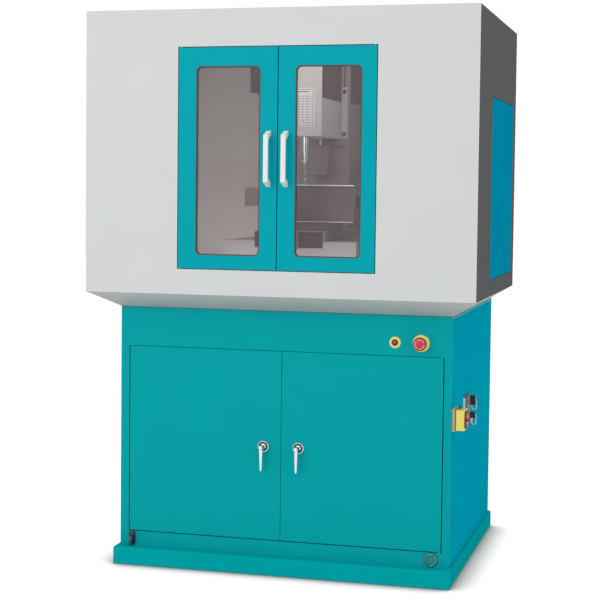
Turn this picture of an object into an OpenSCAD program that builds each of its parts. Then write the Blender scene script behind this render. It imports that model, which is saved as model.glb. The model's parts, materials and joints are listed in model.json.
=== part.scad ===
// Enclosed benchtop-size CNC milling machine on a sheet steel base cabinet.
// Millimetres. +X to the machine's right, +Y to its back, +Z up.
// Origin: on the floor, in the middle of the machine's outline seen from above.

/* [Enclosure] */
// Width of the splash enclosure
enclosure_w = 1220; // [1100:1:1500]
// Depth of the splash enclosure
enclosure_d = 870; // [850:1:1100]
// Height of the splash enclosure
enclosure_h = 865; // [850:1:1100]
// Thickness of all sheet metal
sheet = 3; // [2:0.5:4]
// Width of the folded flanges behind the panels
flange = 20; // [14:1:30]
// Height of the sloping hopper under the enclosure
hopper_h = 50; // [40:1:90]

/* [Window doors] */
// Width of the window door opening
window_opening_w = 620; // [520:1:800]
// Height of the front sheet below that opening
window_margin_low = 77; // [60:1:120]
// Height of the front sheet above that opening
window_margin_top = 113; // [60:1:160]
// How far the doors' meeting line is right of the middle
window_seam_x = 6; // [0:1:20]
// Width of each window
window_w = 204; // [140:1:240]
// Height of a window door's rail below its window
window_rail_low = 44; // [30:1:80]
// Height of a window door's rail above its window
window_rail_top = 59; // [30:1:80]
// Corner radius of the windows
window_r = 18; // [10:1:30]
// Width of each window door's stile beside the meeting line
lock_stile = 54; // [45:1:80]
// Thickness of the window glass
glass_t = 5; // [3:0.5:6]
// Thickness of a door with its folded edges
door_t = 20; // [18:1:26]
// Gap round every window door, and under and at the hinge side of each cabinet door
door_gap = 3; // [3:0.5:5]
// Gap over and between the cabinet doors
door_seam = 1.5; // [1:0.5:4]
// Length of a bow pull
pull_len = 168; // [120:1:220]
// How far a bow pull stands proud of its door
pull_proud = 36; // [28:1:45]
// Width of a bow pull
pull_w = 14; // [10:1:18]

/* [Base cabinet] */
// Width of the base cabinet
base_w = 1055; // [1000:1:1300]
// Depth of the base cabinet
base_d = 855; // [800:1:1000]
// Height of the base cabinet with its plinth
base_h = 815; // [760:1:900]
// How far the cabinet's front stands behind the enclosure's front
base_setback = 95; // [60:1:140]
// Height of the plinth
plinth_h = 55; // [45:1:90]
// How far the plinth stands in front of the cabinet
plinth_front = 40; // [20:1:60]
// How far the plinth stands out at each side
plinth_side = 10; // [4:1:20]
// How far the plinth stands out at the back
plinth_back = 7; // [2:1:20]
// Thickness of the deck plate that carries the mill
deck_t = 10; // [6:1:16]
// Height of the cabinet doors' opening above the floor
base_opening_lift = 100; // [80:1:130]
// Height of the front sheet above the cabinet doors
base_header = 123; // [110:1:200]
// Width of the front sheet left of the cabinet doors
base_stile_left = 27.5; // [24:0.5:60]
// Width of the front sheet right of the cabinet doors
base_stile_right = 22.5; // [22:0.5:60]
// Distance of each lever handle from the doors' meeting line
lever_x = 56; // [45:1:90]
// Length of a lever from its axis to its tip
lever_len = 70; // [50:1:110]

/* [Controls] */
// Distance of the emergency stop from the cabinet's right edge
estop_in = 93.5; // [60:0.5:120]
// Distance between the two buttons
button_pitch = 80; // [60:1:120]
// Distance of both buttons below the cabinet's top
button_drop = 83; // [60:1:85]
// Radius of the emergency stop's ring
estop_ring_r = 26; // [24:1:34]
// Radius of the emergency stop's mushroom head
estop_head_r = 20; // [16:1:22]
// Travel of the emergency stop
estop_travel = 5; // [3:0.5:6]
// Radius of the power button's ring
power_ring_r = 18; // [16:0.5:24]
// Radius of the power button's cap
power_cap_r = 9.5; // [7:0.5:12]
// Travel of the power button
power_travel = 3; // [2:0.5:4]
// Height of the isolator's middle above the floor
isolator_z = 503; // [400:1:560]
// Distance of the isolator's front edge behind the cabinet's front
isolator_y = 8; // [4:1:40]
// Distance of the access panel behind the enclosure's front
access_front = 283; // [100:1:400]
// Distance of the access panel from the enclosure's back
access_back = 65; // [40:1:200]
// Height of the enclosure's side below the access panel
access_low = 49; // [30:1:120]
// Height of the enclosure's side above the access panel
access_top = 250; // [60:1:300]

/* [Mill] */
// Height of the table's top above the deck
table_lift = 389; // [370:1:420]
// Width of the table
table_w = 300; // [260:1:360]
// Depth of the table
table_d = 220; // [180:1:260]
// Thickness of the table
table_t = 70; // [64:1:84]
// How far the table stands right of the spindle at rest
table_rest_x = 46; // [0:1:60]
// Width of a T-slot's throat
slot_w = 12; // [8:1:14]
// Distance between the T-slots
slot_pitch = 60; // [50:1:70]
// Distance of the spindle's axis behind the enclosure's front
spindle_setback = 355; // [330:1:380]
// Width of the spindle head's cover
head_w = 126; // [110:1:150]
// Depth of the spindle head from its cover's face to the column
head_d = 262; // [240:1:290]
// Height of the head's underside above the table at rest
head_lift = 154; // [145:1:180]
// Height of the spindle head
head_h = 250; // [220:1:280]
// Radius of the ball screws
screw_r = 8; // [6:0.5:10]
// Radius of the end mill
mill_r = 5; // [3:0.5:8]

/* [Hidden] */

// Clearances
pin_clear = 0.05;       // radial, a pin or shaft in its bore
slide_clear = 0.5;      // between faces that slide past each other
seat_clear = 0.3;       // beside a part that is seated
stop_clear = 2;         // between a shut door's back and its stop

// Places
overall_d = pull_proud + base_setback + base_d + plinth_back;
enclosure_y0 = -overall_d / 2 + pull_proud;
enclosure_y1 = enclosure_y0 + enclosure_d;
enclosure_z0 = base_h + hopper_h;
enclosure_z1 = enclosure_z0 + enclosure_h;
half_w = enclosure_w / 2;
base_y0 = enclosure_y0 + base_setback;
base_y1 = base_y0 + base_d;
base_half = base_w / 2;
deck_z = base_h;
tray_floor = deck_z + sheet;

// Doors
hinge_pin_r = 2.5;
hinge_inset = sheet + 3;
hinge_tube = 12;
hinge_depth = 24;
window_z0 = enclosure_z0 + window_margin_low;
window_z1 = enclosure_z1 - window_margin_top;
window_half = window_opening_w / 2;
base_opening_left = base_half - base_stile_left;
base_opening_right = base_half - base_stile_right;
base_door_z1 = base_h - base_header;
base_flange = min(base_stile_left, base_stile_right) - sheet - 2;
lever_z = (base_opening_lift + base_door_z1) / 2 - 2;
estop_x = base_half - estop_in;
power_x = estop_x - button_pitch;
button_z = base_h - button_drop;
mullion_w = 34;
glass_lap = 6;
gasket_lip = 4;
gasket_t = 2;
gasket_clear = 0.2;
window_h = window_z1 - window_z0 - window_rail_low - window_rail_top;
window_z = window_z0 + window_rail_low + window_h / 2;
window_left_x = window_seam_x - lock_stile - window_w / 2;
window_right_x = window_seam_x + lock_stile + window_w / 2;
pull_z = (window_z0 + window_z1) / 2;
pull_left_x = window_seam_x - lock_stile / 2;
pull_right_x = window_seam_x + lock_stile / 2;
glass_y = enclosure_y0 + sheet + gasket_t;
pull_foot = 14;
pull_slant = 14;
pull_bar_t = 9;
pull_stud_r = 2.5;
pull_stud_len = sheet + 8;
window_pins = [-window_half + door_gap + hinge_inset, window_half - door_gap - hinge_inset];
base_pins = [-base_opening_left + door_gap + hinge_inset, base_opening_right - door_gap - hinge_inset];

// Lever handles
lever_spindle_r = 6;
rosette_r = 18;
rosette_t = 6;
sleeve_r = 9;
sleeve_len = sheet + 5;
lever_gap = 0.4;
lever_reach = 28;
lever_r = 7;
lever_tip_r = 4;
lever_top = 8;
cam_len = 46;
cam_w = 12;
cam_gap = 2;
cam_y = base_y0 + door_t + stop_clear + sheet + cam_gap;

// Button columns behind the sheet
button_stem_r = 11;
button_behind = 32;
estop_ring_t = 7;
power_ring_t = 5;
cap_len = 12;
plunger_r = 6;
plunger_in = 20;
plunger_y = base_y0 - 18;
plunger_pin = 9;
plunger_pin_r = 4;
head_skirt_t = 6;
mushroom_t = 9;

// Access panel in the enclosure's right side
access_y0 = enclosure_y0 + access_front;
access_y1 = enclosure_y1 - access_back;
access_z0 = enclosure_z0 + access_low;
access_z1 = enclosure_z1 - access_top;
access_seat = 15;
access_gap = 2;

// Fittings low on the cabinet's front
drain_x = 40.5 - base_half;
drain_z = plinth_h + 25;
drain_pipe_r = 7;
drain_flange_w = 22;
drain_flange_h = 46;
drain_flange_t = 4;
drain_body_t = 20;
drain_hole_x = drain_x + 120;
drain_hole_y = base_y0 + 130;
drain_hole_r = 18;
port_x = base_half - 54.5;
port_r = 21;
port_z = plinth_h + port_r + 1.5;
port_hole_r = 13.5;
port_t = 5;
hopper_wall = 6;

// Isolator and connector on the right side
isolator_d = 62;
isolator_h = 68;
isolator_plate_t = 10;
isolator_box_t = 28;
isolator_cap_t = 5;
isolator_knob_r = 15;
isolator_knob_t = 13;
isolator_shaft_r = 4;
isolator_mid_y = base_y0 + isolator_y + isolator_d / 2;
connector_y0 = base_y0 + 235;
connector_d = 90;
connector_z0 = 465;
connector_z1 = 545;
connector_t = 6;
cover_t = 6;
latch_d = 14;
latch_t = 27;
latch_upper_z = 524;
latch_upper_h = 30;
latch_lower_z = 476;
latch_lower_h = 20;
bail_r = 1.5;
bail_w = 14;
bail_len = 30;
bail_catch = 20;

// Mill
spindle_y = enclosure_y0 + spindle_setback;
table_top = deck_z + table_lift;
plate_t = 30;
table_z0 = table_top - table_t;
table_x0 = table_rest_x - table_w / 2;
table_x1 = table_rest_x + table_w / 2;
table_y0 = spindle_y - 146;
table_y1 = table_y0 + table_d;
table_mid_y = (table_y0 + table_y1) / 2;
table_way_w = 26;
bracket_t = 12;
bracket_w = 60;
slot_head_w = slot_w + 8;
slot_throat_t = 12;
slot_head_t = 8;
apron_drop = 116;
saddle_w = 220;
saddle_t = 74;
saddle_z1 = table_z0 - slide_clear;
saddle_z0 = saddle_z1 - saddle_t;
saddle_inset = 20;
nut_w = 40;
nut_d = 48;
bed_z1 = saddle_z0 - slide_clear;
bed_w = 430;
bed_y0 = table_y0 - 50;
bed_wall = 20;
bed_step = 31;
channel_w = 70;
channel_t = 52;
column_w = 180;
column_d = 190;
column_wall = 25;
head_y0 = spindle_y - 46;
way_t = 14;
way_w = 35;
way_x = 45;
motor_a = 60;
motor_len = 80;
motor_grip = 12;
column_y0 = head_y0 + head_d + way_t + slide_clear;
column_y1 = column_y0 + column_d;
head_z0 = table_top + head_lift;
head_z1 = head_z0 + head_h;
cover_wall = 3;
casting_h = 190;
lift_travel = 110;
column_z1 = head_z1 + 40;
x_screw_z = table_top - plate_t - 20;
y_screw_z = bed_z1 - 26;
y_screw_y1 = column_y0 - bed_wall / 2;
z_screw_y = column_y0 - motor_a / 2 - 2;
z_screw_z1 = head_z0 + casting_h + lift_travel + 10;
z_bracket_z1 = head_z0 - 22;
z_bracket_z0 = z_bracket_z1 - 18;
spindle_shaft_r = 12;
spindle_nose_r = 17;
nose_len = 52;
collet_r = 13;
collet_len = 34;
collet_z0 = head_z0 - slide_clear - nose_len - collet_len;
mill_clear = 3;
pulley_r = 30;
pulley_h = 24;
motor_box_w = 110;

// In the cabinet
drive_x = 240;
drive_pitch = 76;
drive_w = 60;
drive_d = 140;
drive_h = 200;
drive_z = 320;
tank_x = 45 - base_half;
tank_y = base_y0 + 60;
tank_w = 400;
tank_d = 450;
tank_h = 250;

// A box from its corner values
module block(x0, x1, y0, y1, z0, z1) {
    translate([x0, y0, z0]) cube([x1 - x0, y1 - y0, z1 - z0]);
}

// A flat shape drawn in X and Z, thickened from y to y + t
module upright(y, t) {
    translate([0, y + t, 0]) rotate([90, 0, 0]) linear_extrude(t) children();
}

// A flat shape drawn in Y and Z, thickened from x to x + t
module sideways(x, t) {
    translate([x, 0, 0]) rotate([90, 0, 90]) linear_extrude(t) children();
}

module rounded_rect(w, h, r) {
    square([w - 2 * r, h], center = true);
    square([w, h - 2 * r], center = true);
    for (x = [-1, 1], y = [-1, 1])
        translate([x * (w / 2 - r), y * (h / 2 - r)]) circle(r, $fn = 64);
}

// A round bar along Y, X or Z
module bar_y(x, y0, y1, z, r) {
    translate([x, y1, z]) rotate([90, 0, 0]) cylinder(h = y1 - y0, r = r, $fn = 64);
}
module bar_x(x0, x1, y, z, r) {
    translate([x0, y, z]) rotate([0, 90, 0]) cylinder(h = x1 - x0, r = r, $fn = 64);
}
module bar_z(x, y, z0, z1, r) {
    translate([x, y, z0]) cylinder(h = z1 - z0, r = r, $fn = 64);
}

// A rectangular opening's folded return: a lip behind the front sheet and an inward stop
module door_return(x0, x1, y, z0, z1) {
    lip_y1 = y + door_t + stop_clear + sheet;
    difference() {
        block(x0 - sheet, x1 + sheet, y + sheet, lip_y1, z0 - sheet, z1 + sheet);
        block(x0, x1, y, lip_y1 - sheet, z0, z1);
        block(x0 + hinge_tube, x1 - hinge_tube, y, lip_y1 + 1, z0 + hinge_tube, z1 - hinge_tube);
    }
}

// The bores for the hinge pins, in the lips above and below an opening
module pin_holes(xs, y, z0, z1) {
    for (x = xs) bar_z(x, y + hinge_inset, z0 - sheet - 1, z1 + sheet + 1, hinge_pin_r + pin_clear);
}

// Two pins for each x: one up through the lower lip and one down through the upper lip
module hinge_pins(xs, y, z0, z1) {
    head_r = hinge_pin_r + 0.4;
    head_t = 2;
    for (x = xs) {
        bar_z(x, y + hinge_inset, z0 - sheet, z0 + hinge_depth, hinge_pin_r);
        bar_z(x, y + hinge_inset, z0 - sheet - head_t, z0 - sheet, head_r);
        bar_z(x, y + hinge_inset, z1 - hinge_depth, z1 + sheet, hinge_pin_r);
        bar_z(x, y + hinge_inset, z1 + sheet, z1 + sheet + head_t, head_r);
    }
}

// A folded door leaf with a hinge tube down one edge: side is -1 for hinges on the left, 1 on the right
module leaf(x0, x1, y, z0, z1, side) {
    hinge_x = side < 0 ? x0 : x1 - hinge_tube;
    pin_x = side < 0 ? x0 + hinge_inset : x1 - hinge_inset;
    difference() {
        union() {
            difference() {
                block(x0, x1, y, y + door_t, z0, z1);
                block(x0 + sheet, x1 - sheet, y + sheet, y + door_t + 1, z0 + sheet, z1 - sheet);
            }
            block(hinge_x, hinge_x + hinge_tube, y, y + hinge_tube, z0, z1);
        }
        for (z = [z0 - 1, z1 - hinge_depth])
            bar_z(pin_x, y + hinge_inset, z, z + hinge_depth + 1, hinge_pin_r + pin_clear);
        children();
    }
}

// ---------- Base cabinet ----------

module plinth() {
    x1 = base_half + plinth_side;
    y0 = base_y0 - plinth_front;
    y1 = base_y1 + plinth_back;
    color("#00a0a3") difference() {
        block(-x1, x1, y0, y1, 0, plinth_h);
        block(-x1 + sheet, x1 - sheet, y0 + sheet, y1 - sheet, sheet, plinth_h - sheet);
    }
}

module base_front_frame() {
    stop_y = base_y0 + door_t + stop_clear;
    color("#00a0a3") difference() {
        union() {
            difference() {
                block(-base_half, base_half, base_y0, base_y0 + sheet, plinth_h, base_h);
                block(-base_opening_left, base_opening_right, base_y0 - 1, base_y0 + sheet + 1,
                      base_opening_lift, base_door_z1);
            }
            door_return(-base_opening_left, base_opening_right, base_y0, base_opening_lift, base_door_z1);
            block(-mullion_w / 2, mullion_w / 2, stop_y, stop_y + sheet, base_opening_lift, base_door_z1);
        }
        pin_holes(base_pins, base_y0, base_opening_lift, base_door_z1);
        bar_y(power_x, base_y0 - 1, base_y0 + sheet + 1, button_z, button_stem_r + seat_clear);
        bar_y(estop_x, base_y0 - 1, base_y0 + sheet + 1, button_z, button_stem_r + seat_clear);
        bar_y(drain_x, base_y0 - 1, base_y0 + sheet + 1, drain_z, drain_pipe_r + seat_clear);
    }
}

// A cabinet side from y0 to y1, folded inwards along its four edges: side is -1 on the left, 1 on the right
module cabinet_side(side) {
    y0 = base_y0 + sheet;
    y1 = base_y1 - sheet;
    z1 = base_h - deck_t;
    mirror([side < 0 ? 1 : 0, 0, 0]) difference() {
        block(base_half - base_flange, base_half, y0, y1, plinth_h, z1);
        block(0, base_half - sheet, y0 + sheet, y1 - sheet, plinth_h + sheet, z1 - sheet);
        block(0, base_half - sheet, y0 + flange, y1 - flange, plinth_h - 1, base_h);
    }
}

module base_left_side() {
    color("#008fae") cabinet_side(-1);
}

module base_right_side() {
    color("#008fae") difference() {
        cabinet_side(1);
        bar_x(base_half - sheet - 1, base_half + 1, isolator_mid_y, isolator_z, isolator_shaft_r + 4);
        block(base_half - sheet - 1, base_half + 1, connector_y0 + 20, connector_y0 + connector_d - 20,
              connector_z0 + 18, connector_z1 - 18);
    }
}

module base_back_panel() {
    color("#008fae") block(-base_half, base_half, base_y1 - sheet, base_y1, plinth_h, base_h);
}

module base_deck() {
    color("#008fae") difference() {
        block(-base_half, base_half, base_y0 + sheet, base_y1 - sheet, base_h - deck_t, base_h);
        bar_z(drain_hole_x, drain_hole_y, base_h - deck_t - 1, base_h + 1, drain_hole_r);
    }
}

module base_hinge_pins() {
    color("#b8bcbe") hinge_pins(base_pins, base_y0, base_opening_lift, base_door_z1);
}

// The solid bounded by the hopper's sloping sides, drawn in by inset
module hopper_solid(inset, back_y, z0, z1) {
    intersection() {
        upright(base_y0 - enclosure_d, 3 * enclosure_d)
            polygon([
                [-base_half + inset, z0], [base_half - inset, z0],
                [half_w - inset, z1], [-half_w + inset, z1]
            ]);
        sideways(-enclosure_w, 2 * enclosure_w)
            polygon([
                [base_y0 + inset, z0], [back_y, z0],
                [back_y, z1], [enclosure_y0 + inset, z1]
            ]);
    }
}

module chip_tray() {
    color("#c2c8c7") difference() {
        hopper_solid(0, enclosure_y1 - sheet, deck_z, enclosure_z0);
        hopper_solid(hopper_wall, enclosure_y1, tray_floor, enclosure_z0 + sheet);
        bar_z(drain_hole_x, drain_hole_y, deck_z - 1, tray_floor + 1, drain_hole_r);
    }
}

// An oval flange with a pipe stub behind it and a hose nipple turned down in front
module drain_fitting() {
    nipple_y = base_y0 - drain_body_t + drain_pipe_r;
    nipple_z = plinth_h + 1;
    color("#3a4044") difference() {
        union() {
            upright(base_y0 - drain_flange_t, drain_flange_t) translate([drain_x, drain_z]) {
                square([drain_flange_w, drain_flange_h - drain_flange_w], center = true);
                for (z = [-1, 1])
                    translate([0, z * (drain_flange_h - drain_flange_w) / 2])
                        circle(drain_flange_w / 2, $fn = 64);
            }
            bar_y(drain_x, base_y0, base_y0 + sheet + 14, drain_z, drain_pipe_r);
            bar_y(drain_x, base_y0 - drain_body_t, base_y0 - drain_flange_t, drain_z, drain_pipe_r);
            bar_z(drain_x, nipple_y, nipple_z, drain_z, drain_pipe_r - 1.5);
        }
        bar_z(drain_x, nipple_y, nipple_z - 1, drain_z, drain_pipe_r - 4);
    }
}

module cable_port_ring() {
    color("#2e3438") difference() {
        bar_y(port_x, base_y0 - port_t, base_y0, port_z, port_r);
        bar_y(port_x, base_y0 - port_t - 1, base_y0 + 1, port_z, port_hole_r);
    }
}

// ---------- Splash enclosure ----------

module enclosure_front() {
    color("#d6d9d9") difference() {
        union() {
            difference() {
                block(-half_w, half_w, enclosure_y0, enclosure_y0 + sheet, enclosure_z0, enclosure_z1);
                block(-window_half, window_half, enclosure_y0 - 1, enclosure_y0 + sheet + 1,
                      window_z0, window_z1);
            }
            door_return(-window_half, window_half, enclosure_y0, window_z0, window_z1);
        }
        pin_holes(window_pins, enclosure_y0, window_z0, window_z1);
    }
}

// An enclosure side folded in along its front and back edges, drawn on the right
module enclosure_side() {
    y0 = enclosure_y0 + sheet;
    y1 = enclosure_y1 - sheet;
    difference() {
        block(half_w - flange, half_w, y0, y1, enclosure_z0, enclosure_z1);
        block(0, half_w - sheet, y0 + sheet, y1 - sheet, enclosure_z0 - 1, enclosure_z1 + 1);
        block(0, half_w - sheet, y0 - 1, y1 + 1, enclosure_z1 - sheet, enclosure_z1 + 1);
    }
}

module enclosure_left_side() {
    color("#58595a") mirror([1, 0, 0]) enclosure_side();
}

module enclosure_right_side() {
    color("#58595a") difference() {
        union() {
            enclosure_side();
            block(half_w - 2 * sheet, half_w - sheet, access_y0 - access_seat, access_y1 + access_seat,
                  access_z0 - access_seat, access_z1 + access_seat);
        }
        block(half_w - sheet, half_w + 1, access_y0, access_y1, access_z0, access_z1);
        block(half_w - flange - 1, half_w - sheet, access_y0 + access_seat, access_y1 - access_seat,
              access_z0 + access_seat, access_z1 - access_seat);
    }
}

module enclosure_roof() {
    color("#d6d9d9") block(-half_w + sheet, half_w - sheet, enclosure_y0 + sheet, enclosure_y1 - sheet,
                           enclosure_z1 - sheet, enclosure_z1);
}

// The back sheet, which goes down past the tray to the deck
module enclosure_back() {
    color("#58595a") upright(enclosure_y1 - sheet, sheet)
        polygon([
            [-base_half, deck_z], [base_half, deck_z],
            [half_w, enclosure_z0], [half_w, enclosure_z1],
            [-half_w, enclosure_z1], [-half_w, enclosure_z0]
        ]);
}

module side_access_panel() {
    color("#0082a5") block(half_w - sheet, half_w, access_y0 + access_gap, access_y1 - access_gap,
                           access_z0 + access_gap, access_z1 - access_gap);
}

module window_hinge_pins() {
    color("#b8bcbe") hinge_pins(window_pins, enclosure_y0, window_z0, window_z1);
}

// ---------- Window doors ----------

module window_outline(x, grow) {
    translate([x, window_z]) rounded_rect(window_w + 2 * grow, window_h + 2 * grow, window_r + grow);
}

module window_door(x0, x1, window_x, pull_x, side) {
    color("#00a7b2")
        leaf(x0, x1, enclosure_y0, window_z0 + door_gap, window_z1 - door_gap, side) {
            upright(enclosure_y0 - 1, door_t) window_outline(window_x, 0);
            for (z = [-1, 1]) bar_y(pull_x, enclosure_y0 - 1, enclosure_y0 + sheet + 1,
                                    pull_z + z * (pull_len - pull_foot) / 2, pull_stud_r + pin_clear);
        }
}

module window_glass(x) {
    color([0.45, 0.42, 0.42, 0.45]) upright(glass_y, glass_t) window_outline(x, glass_lap - gasket_clear);
}

module window_gasket(x) {
    color("#1c1e20") difference() {
        union() {
            upright(enclosure_y0 + sheet, 2 * gasket_t + glass_t) window_outline(x, glass_lap + gasket_t);
            upright(enclosure_y0 + 0.5, sheet) window_outline(x, -gasket_clear);
        }
        upright(enclosure_y0, door_t) window_outline(x, -gasket_lip);
        upright(glass_y, glass_t) window_outline(x, glass_lap);
    }
}

// A bow pull of bar with slanted ends, and a threaded stud in each foot
module door_pull(x) {
    half = pull_len / 2;
    y_out = enclosure_y0 - pull_proud;
    y_in = y_out + pull_bar_t;
    color("#e8eaea") {
        sideways(x - pull_w / 2, pull_w) polygon([
            [enclosure_y0, pull_z - half], [y_out, pull_z - half + pull_slant],
            [y_out, pull_z + half - pull_slant], [enclosure_y0, pull_z + half],
            [enclosure_y0, pull_z + half - pull_foot], [y_in, pull_z + half - pull_foot - pull_slant],
            [y_in, pull_z - half + pull_foot + pull_slant], [enclosure_y0, pull_z - half + pull_foot]
        ]);
        for (z = [-1, 1]) bar_y(x, enclosure_y0, enclosure_y0 + pull_stud_len,
                                pull_z + z * (pull_len - pull_foot) / 2, pull_stud_r);
    }
}

module window_door_left() {
    window_door(-window_half + door_gap, window_seam_x - door_gap / 2, window_left_x, pull_left_x, -1);
}
module window_door_right() {
    window_door(window_seam_x + door_gap / 2, window_half - door_gap, window_right_x, pull_right_x, 1);
}
module window_glass_left() window_glass(window_left_x);
module window_glass_right() window_glass(window_right_x);
module window_gasket_left() window_gasket(window_left_x);
module window_gasket_right() window_gasket(window_right_x);
module door_pull_left() door_pull(pull_left_x);
module door_pull_right() door_pull(pull_right_x);

// ---------- Cabinet doors and their lever latches ----------

module base_door(x0, x1, latch_x, side) {
    color("#00a0a3")
        leaf(x0, x1, base_y0, base_opening_lift + door_gap, base_door_z1 - door_seam, side)
            bar_y(latch_x, base_y0 - 1, base_y0 + sheet + 1, lever_z, sleeve_r + pin_clear);
}

module handle_rosette(x) {
    color("#c9ccce") difference() {
        union() {
            bar_y(x, base_y0 - rosette_t, base_y0, lever_z, rosette_r);
            bar_y(x, base_y0, base_y0 + sleeve_len, lever_z, sleeve_r);
        }
        bar_y(x, base_y0 - rosette_t - 1, base_y0 + sleeve_len + 1, lever_z, lever_spindle_r + pin_clear);
    }
}

// A lever on its square-ended spindle, with the latch cam behind the door
module handle_lever(x) {
    lever_y = base_y0 - lever_reach;
    color("#d4d7d8") {
        bar_y(x, lever_y, base_y0 - rosette_t - lever_gap, lever_z, lever_r - 0.5);
        bar_y(x, lever_y, cam_y + sheet, lever_z, lever_spindle_r);
        translate([x, lever_y, lever_z - lever_len])
            cylinder(h = lever_len + lever_top, r1 = lever_tip_r, r2 = lever_r, $fn = 64);
        translate([x, lever_y, lever_z - lever_len]) sphere(lever_tip_r, $fn = 48);
        block(x - cam_w / 2, x + cam_w / 2, cam_y, cam_y + sheet, lever_z - cam_w / 2, lever_z + cam_len);
    }
}

module base_door_left() base_door(-base_opening_left + door_gap, -door_seam / 2, -lever_x, -1);
module base_door_right() base_door(door_seam / 2, base_opening_right - door_gap, lever_x, 1);
module handle_rosette_left() handle_rosette(-lever_x);
module handle_rosette_right() handle_rosette(lever_x);
module handle_lever_left() handle_lever(-lever_x);
module handle_lever_right() handle_lever(lever_x);

// ---------- Controls ----------

// A panel button's body: a ring outside the sheet and a bored stem behind it
module button_body(x, ring_r, ring_t, bore_r, bore_end) {
    difference() {
        union() {
            bar_y(x, base_y0 - ring_t, base_y0, button_z, ring_r);
            bar_y(x, base_y0, base_y0 + sheet + button_behind, button_z, button_stem_r);
        }
        bar_y(x, base_y0 - ring_t - 1, base_y0 + bore_end, button_z, bore_r + pin_clear);
    }
}

module power_button_body() {
    color("#e6d33a")
        button_body(power_x, power_ring_r, power_ring_t, power_cap_r, cap_len + power_travel + 1);
}

module power_button_cap() {
    color("#8c1f1c")
        bar_y(power_x, base_y0 - power_ring_t - power_travel, base_y0 + cap_len, button_z, power_cap_r);
}

module estop_body() {
    color("#e9cf3c")
        button_body(estop_x, estop_ring_r, estop_ring_t, plunger_r, plunger_in + estop_travel + 1);
}

module estop_plunger() {
    color("#b03030") {
        bar_y(estop_x, plunger_y, base_y0 + plunger_in, button_z, plunger_r);
        bar_y(estop_x, plunger_y - plunger_pin, plunger_y, button_z, plunger_pin_r);
    }
}

module estop_head() {
    y1 = plunger_y - seat_clear;
    color("#c4202f") difference() {
        union() {
            bar_y(estop_x, y1 - head_skirt_t - mushroom_t, y1 - head_skirt_t, button_z, estop_head_r);
            bar_y(estop_x, y1 - head_skirt_t, y1, button_z, estop_head_r * 0.75);
        }
        bar_y(estop_x, plunger_y - plunger_pin - seat_clear, y1 + 1, button_z, plunger_pin_r + pin_clear);
    }
}

// A block on the cabinet's right side, from x0 to x1 outside the sheet, drawn in by inset all round
module isolator_block(x0, x1, inset) {
    y0 = base_y0 + isolator_y;
    difference() {
        block(base_half + x0, base_half + x1, y0 + inset, y0 + isolator_d - inset,
              isolator_z - isolator_h / 2 + inset, isolator_z + isolator_h / 2 - inset);
        bar_x(base_half - 1, base_half + x1 + 1, isolator_mid_y, isolator_z, isolator_shaft_r + pin_clear);
    }
}

module isolator_backplate() {
    color("#b9ad8d") isolator_block(0, isolator_plate_t, 0);
}

module isolator_box() {
    color("#e8dc4f") isolator_block(isolator_plate_t, isolator_plate_t + isolator_box_t, 3);
}

module isolator_knob() {
    x0 = base_half + isolator_plate_t + isolator_box_t + lever_gap;
    color("#b5302c") {
        bar_x(x0, x0 + isolator_cap_t, isolator_mid_y, isolator_z, isolator_knob_r);
        block(x0, x0 + isolator_cap_t + isolator_knob_t,
              isolator_mid_y - isolator_knob_r, isolator_mid_y + isolator_knob_r,
              isolator_z - isolator_knob_r / 3, isolator_z + isolator_knob_r / 3);
        bar_x(base_half - 20, x0 + 1, isolator_mid_y, isolator_z, isolator_shaft_r);
    }
}

module connector_housing() {
    y1 = connector_y0 + connector_d;
    x1 = base_half + connector_t;
    color("#6f7476") difference() {
        union() {
            block(base_half, x1, connector_y0, y1, connector_z0, connector_z1);
            for (at = [[latch_upper_z, latch_upper_h], [latch_lower_z, latch_lower_h]])
                block(base_half, base_half + latch_t, y1 - latch_d, y1,
                      at[0] - at[1] / 2, at[0] + at[1] / 2);
        }
        for (z = [latch_upper_z, latch_lower_z])
            bar_x(x1 + 1, base_half + latch_t + 1, y1 - latch_d / 2, z, bail_r + pin_clear);
    }
}

module connector_cover() {
    color("#7d8183") block(base_half + connector_t, base_half + connector_t + cover_t, connector_y0 + 3,
                           connector_y0 + connector_d - latch_d - 3,
                           connector_z0 + 4, connector_z1 - 4);
}

// A wire bail hanging from its pin in a latch block
module connector_bail(z) {
    y = connector_y0 + connector_d - latch_d / 2;
    x0 = base_half + latch_t - 6;
    x1 = base_half + latch_t + bail_r + lever_gap;
    color("#c9d6da") {
        bar_x(x0, x1, y, z, bail_r);
        bar_z(x1, y, z - bail_len, z, bail_r);
        bar_x(x1 - bail_w, x1, y, z - bail_len, bail_r);
        bar_z(x1 - bail_w, y, z - bail_len, z - bail_catch, bail_r);
        for (at = [[x1, z], [x1, z - bail_len], [x1 - bail_w, z - bail_len]])
            translate([at[0], y, at[1]]) sphere(bail_r, $fn = 32);
    }
}

module connector_bail_upper() connector_bail(latch_upper_z);
module connector_bail_lower() connector_bail(latch_lower_z);

// ---------- Mill ----------

// The bed casting: cored from below, with a channel along its top for the Y screw
module machine_bed() {
    channel_z0 = bed_z1 - channel_t;
    color("#8b9196") difference() {
        union() {
            block(-bed_w / 2, bed_w / 2, bed_y0, column_y1, tray_floor, bed_z1 - bed_step);
            block(-saddle_w / 2, saddle_w / 2, bed_y0, column_y1, tray_floor, bed_z1);
        }
        block(-channel_w / 2, channel_w / 2, bed_y0 + bed_wall, column_y0 - bed_wall,
              channel_z0, bed_z1 + 1);
        block(-bed_w / 2 + bed_wall, bed_w / 2 - bed_wall, bed_y0 + bed_wall, column_y1 - bed_wall,
              tray_floor - 1, channel_z0 - bed_wall);
        bar_y(0, bed_y0 - 1, y_screw_y1, y_screw_z, screw_r + pin_clear);
    }
}

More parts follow.
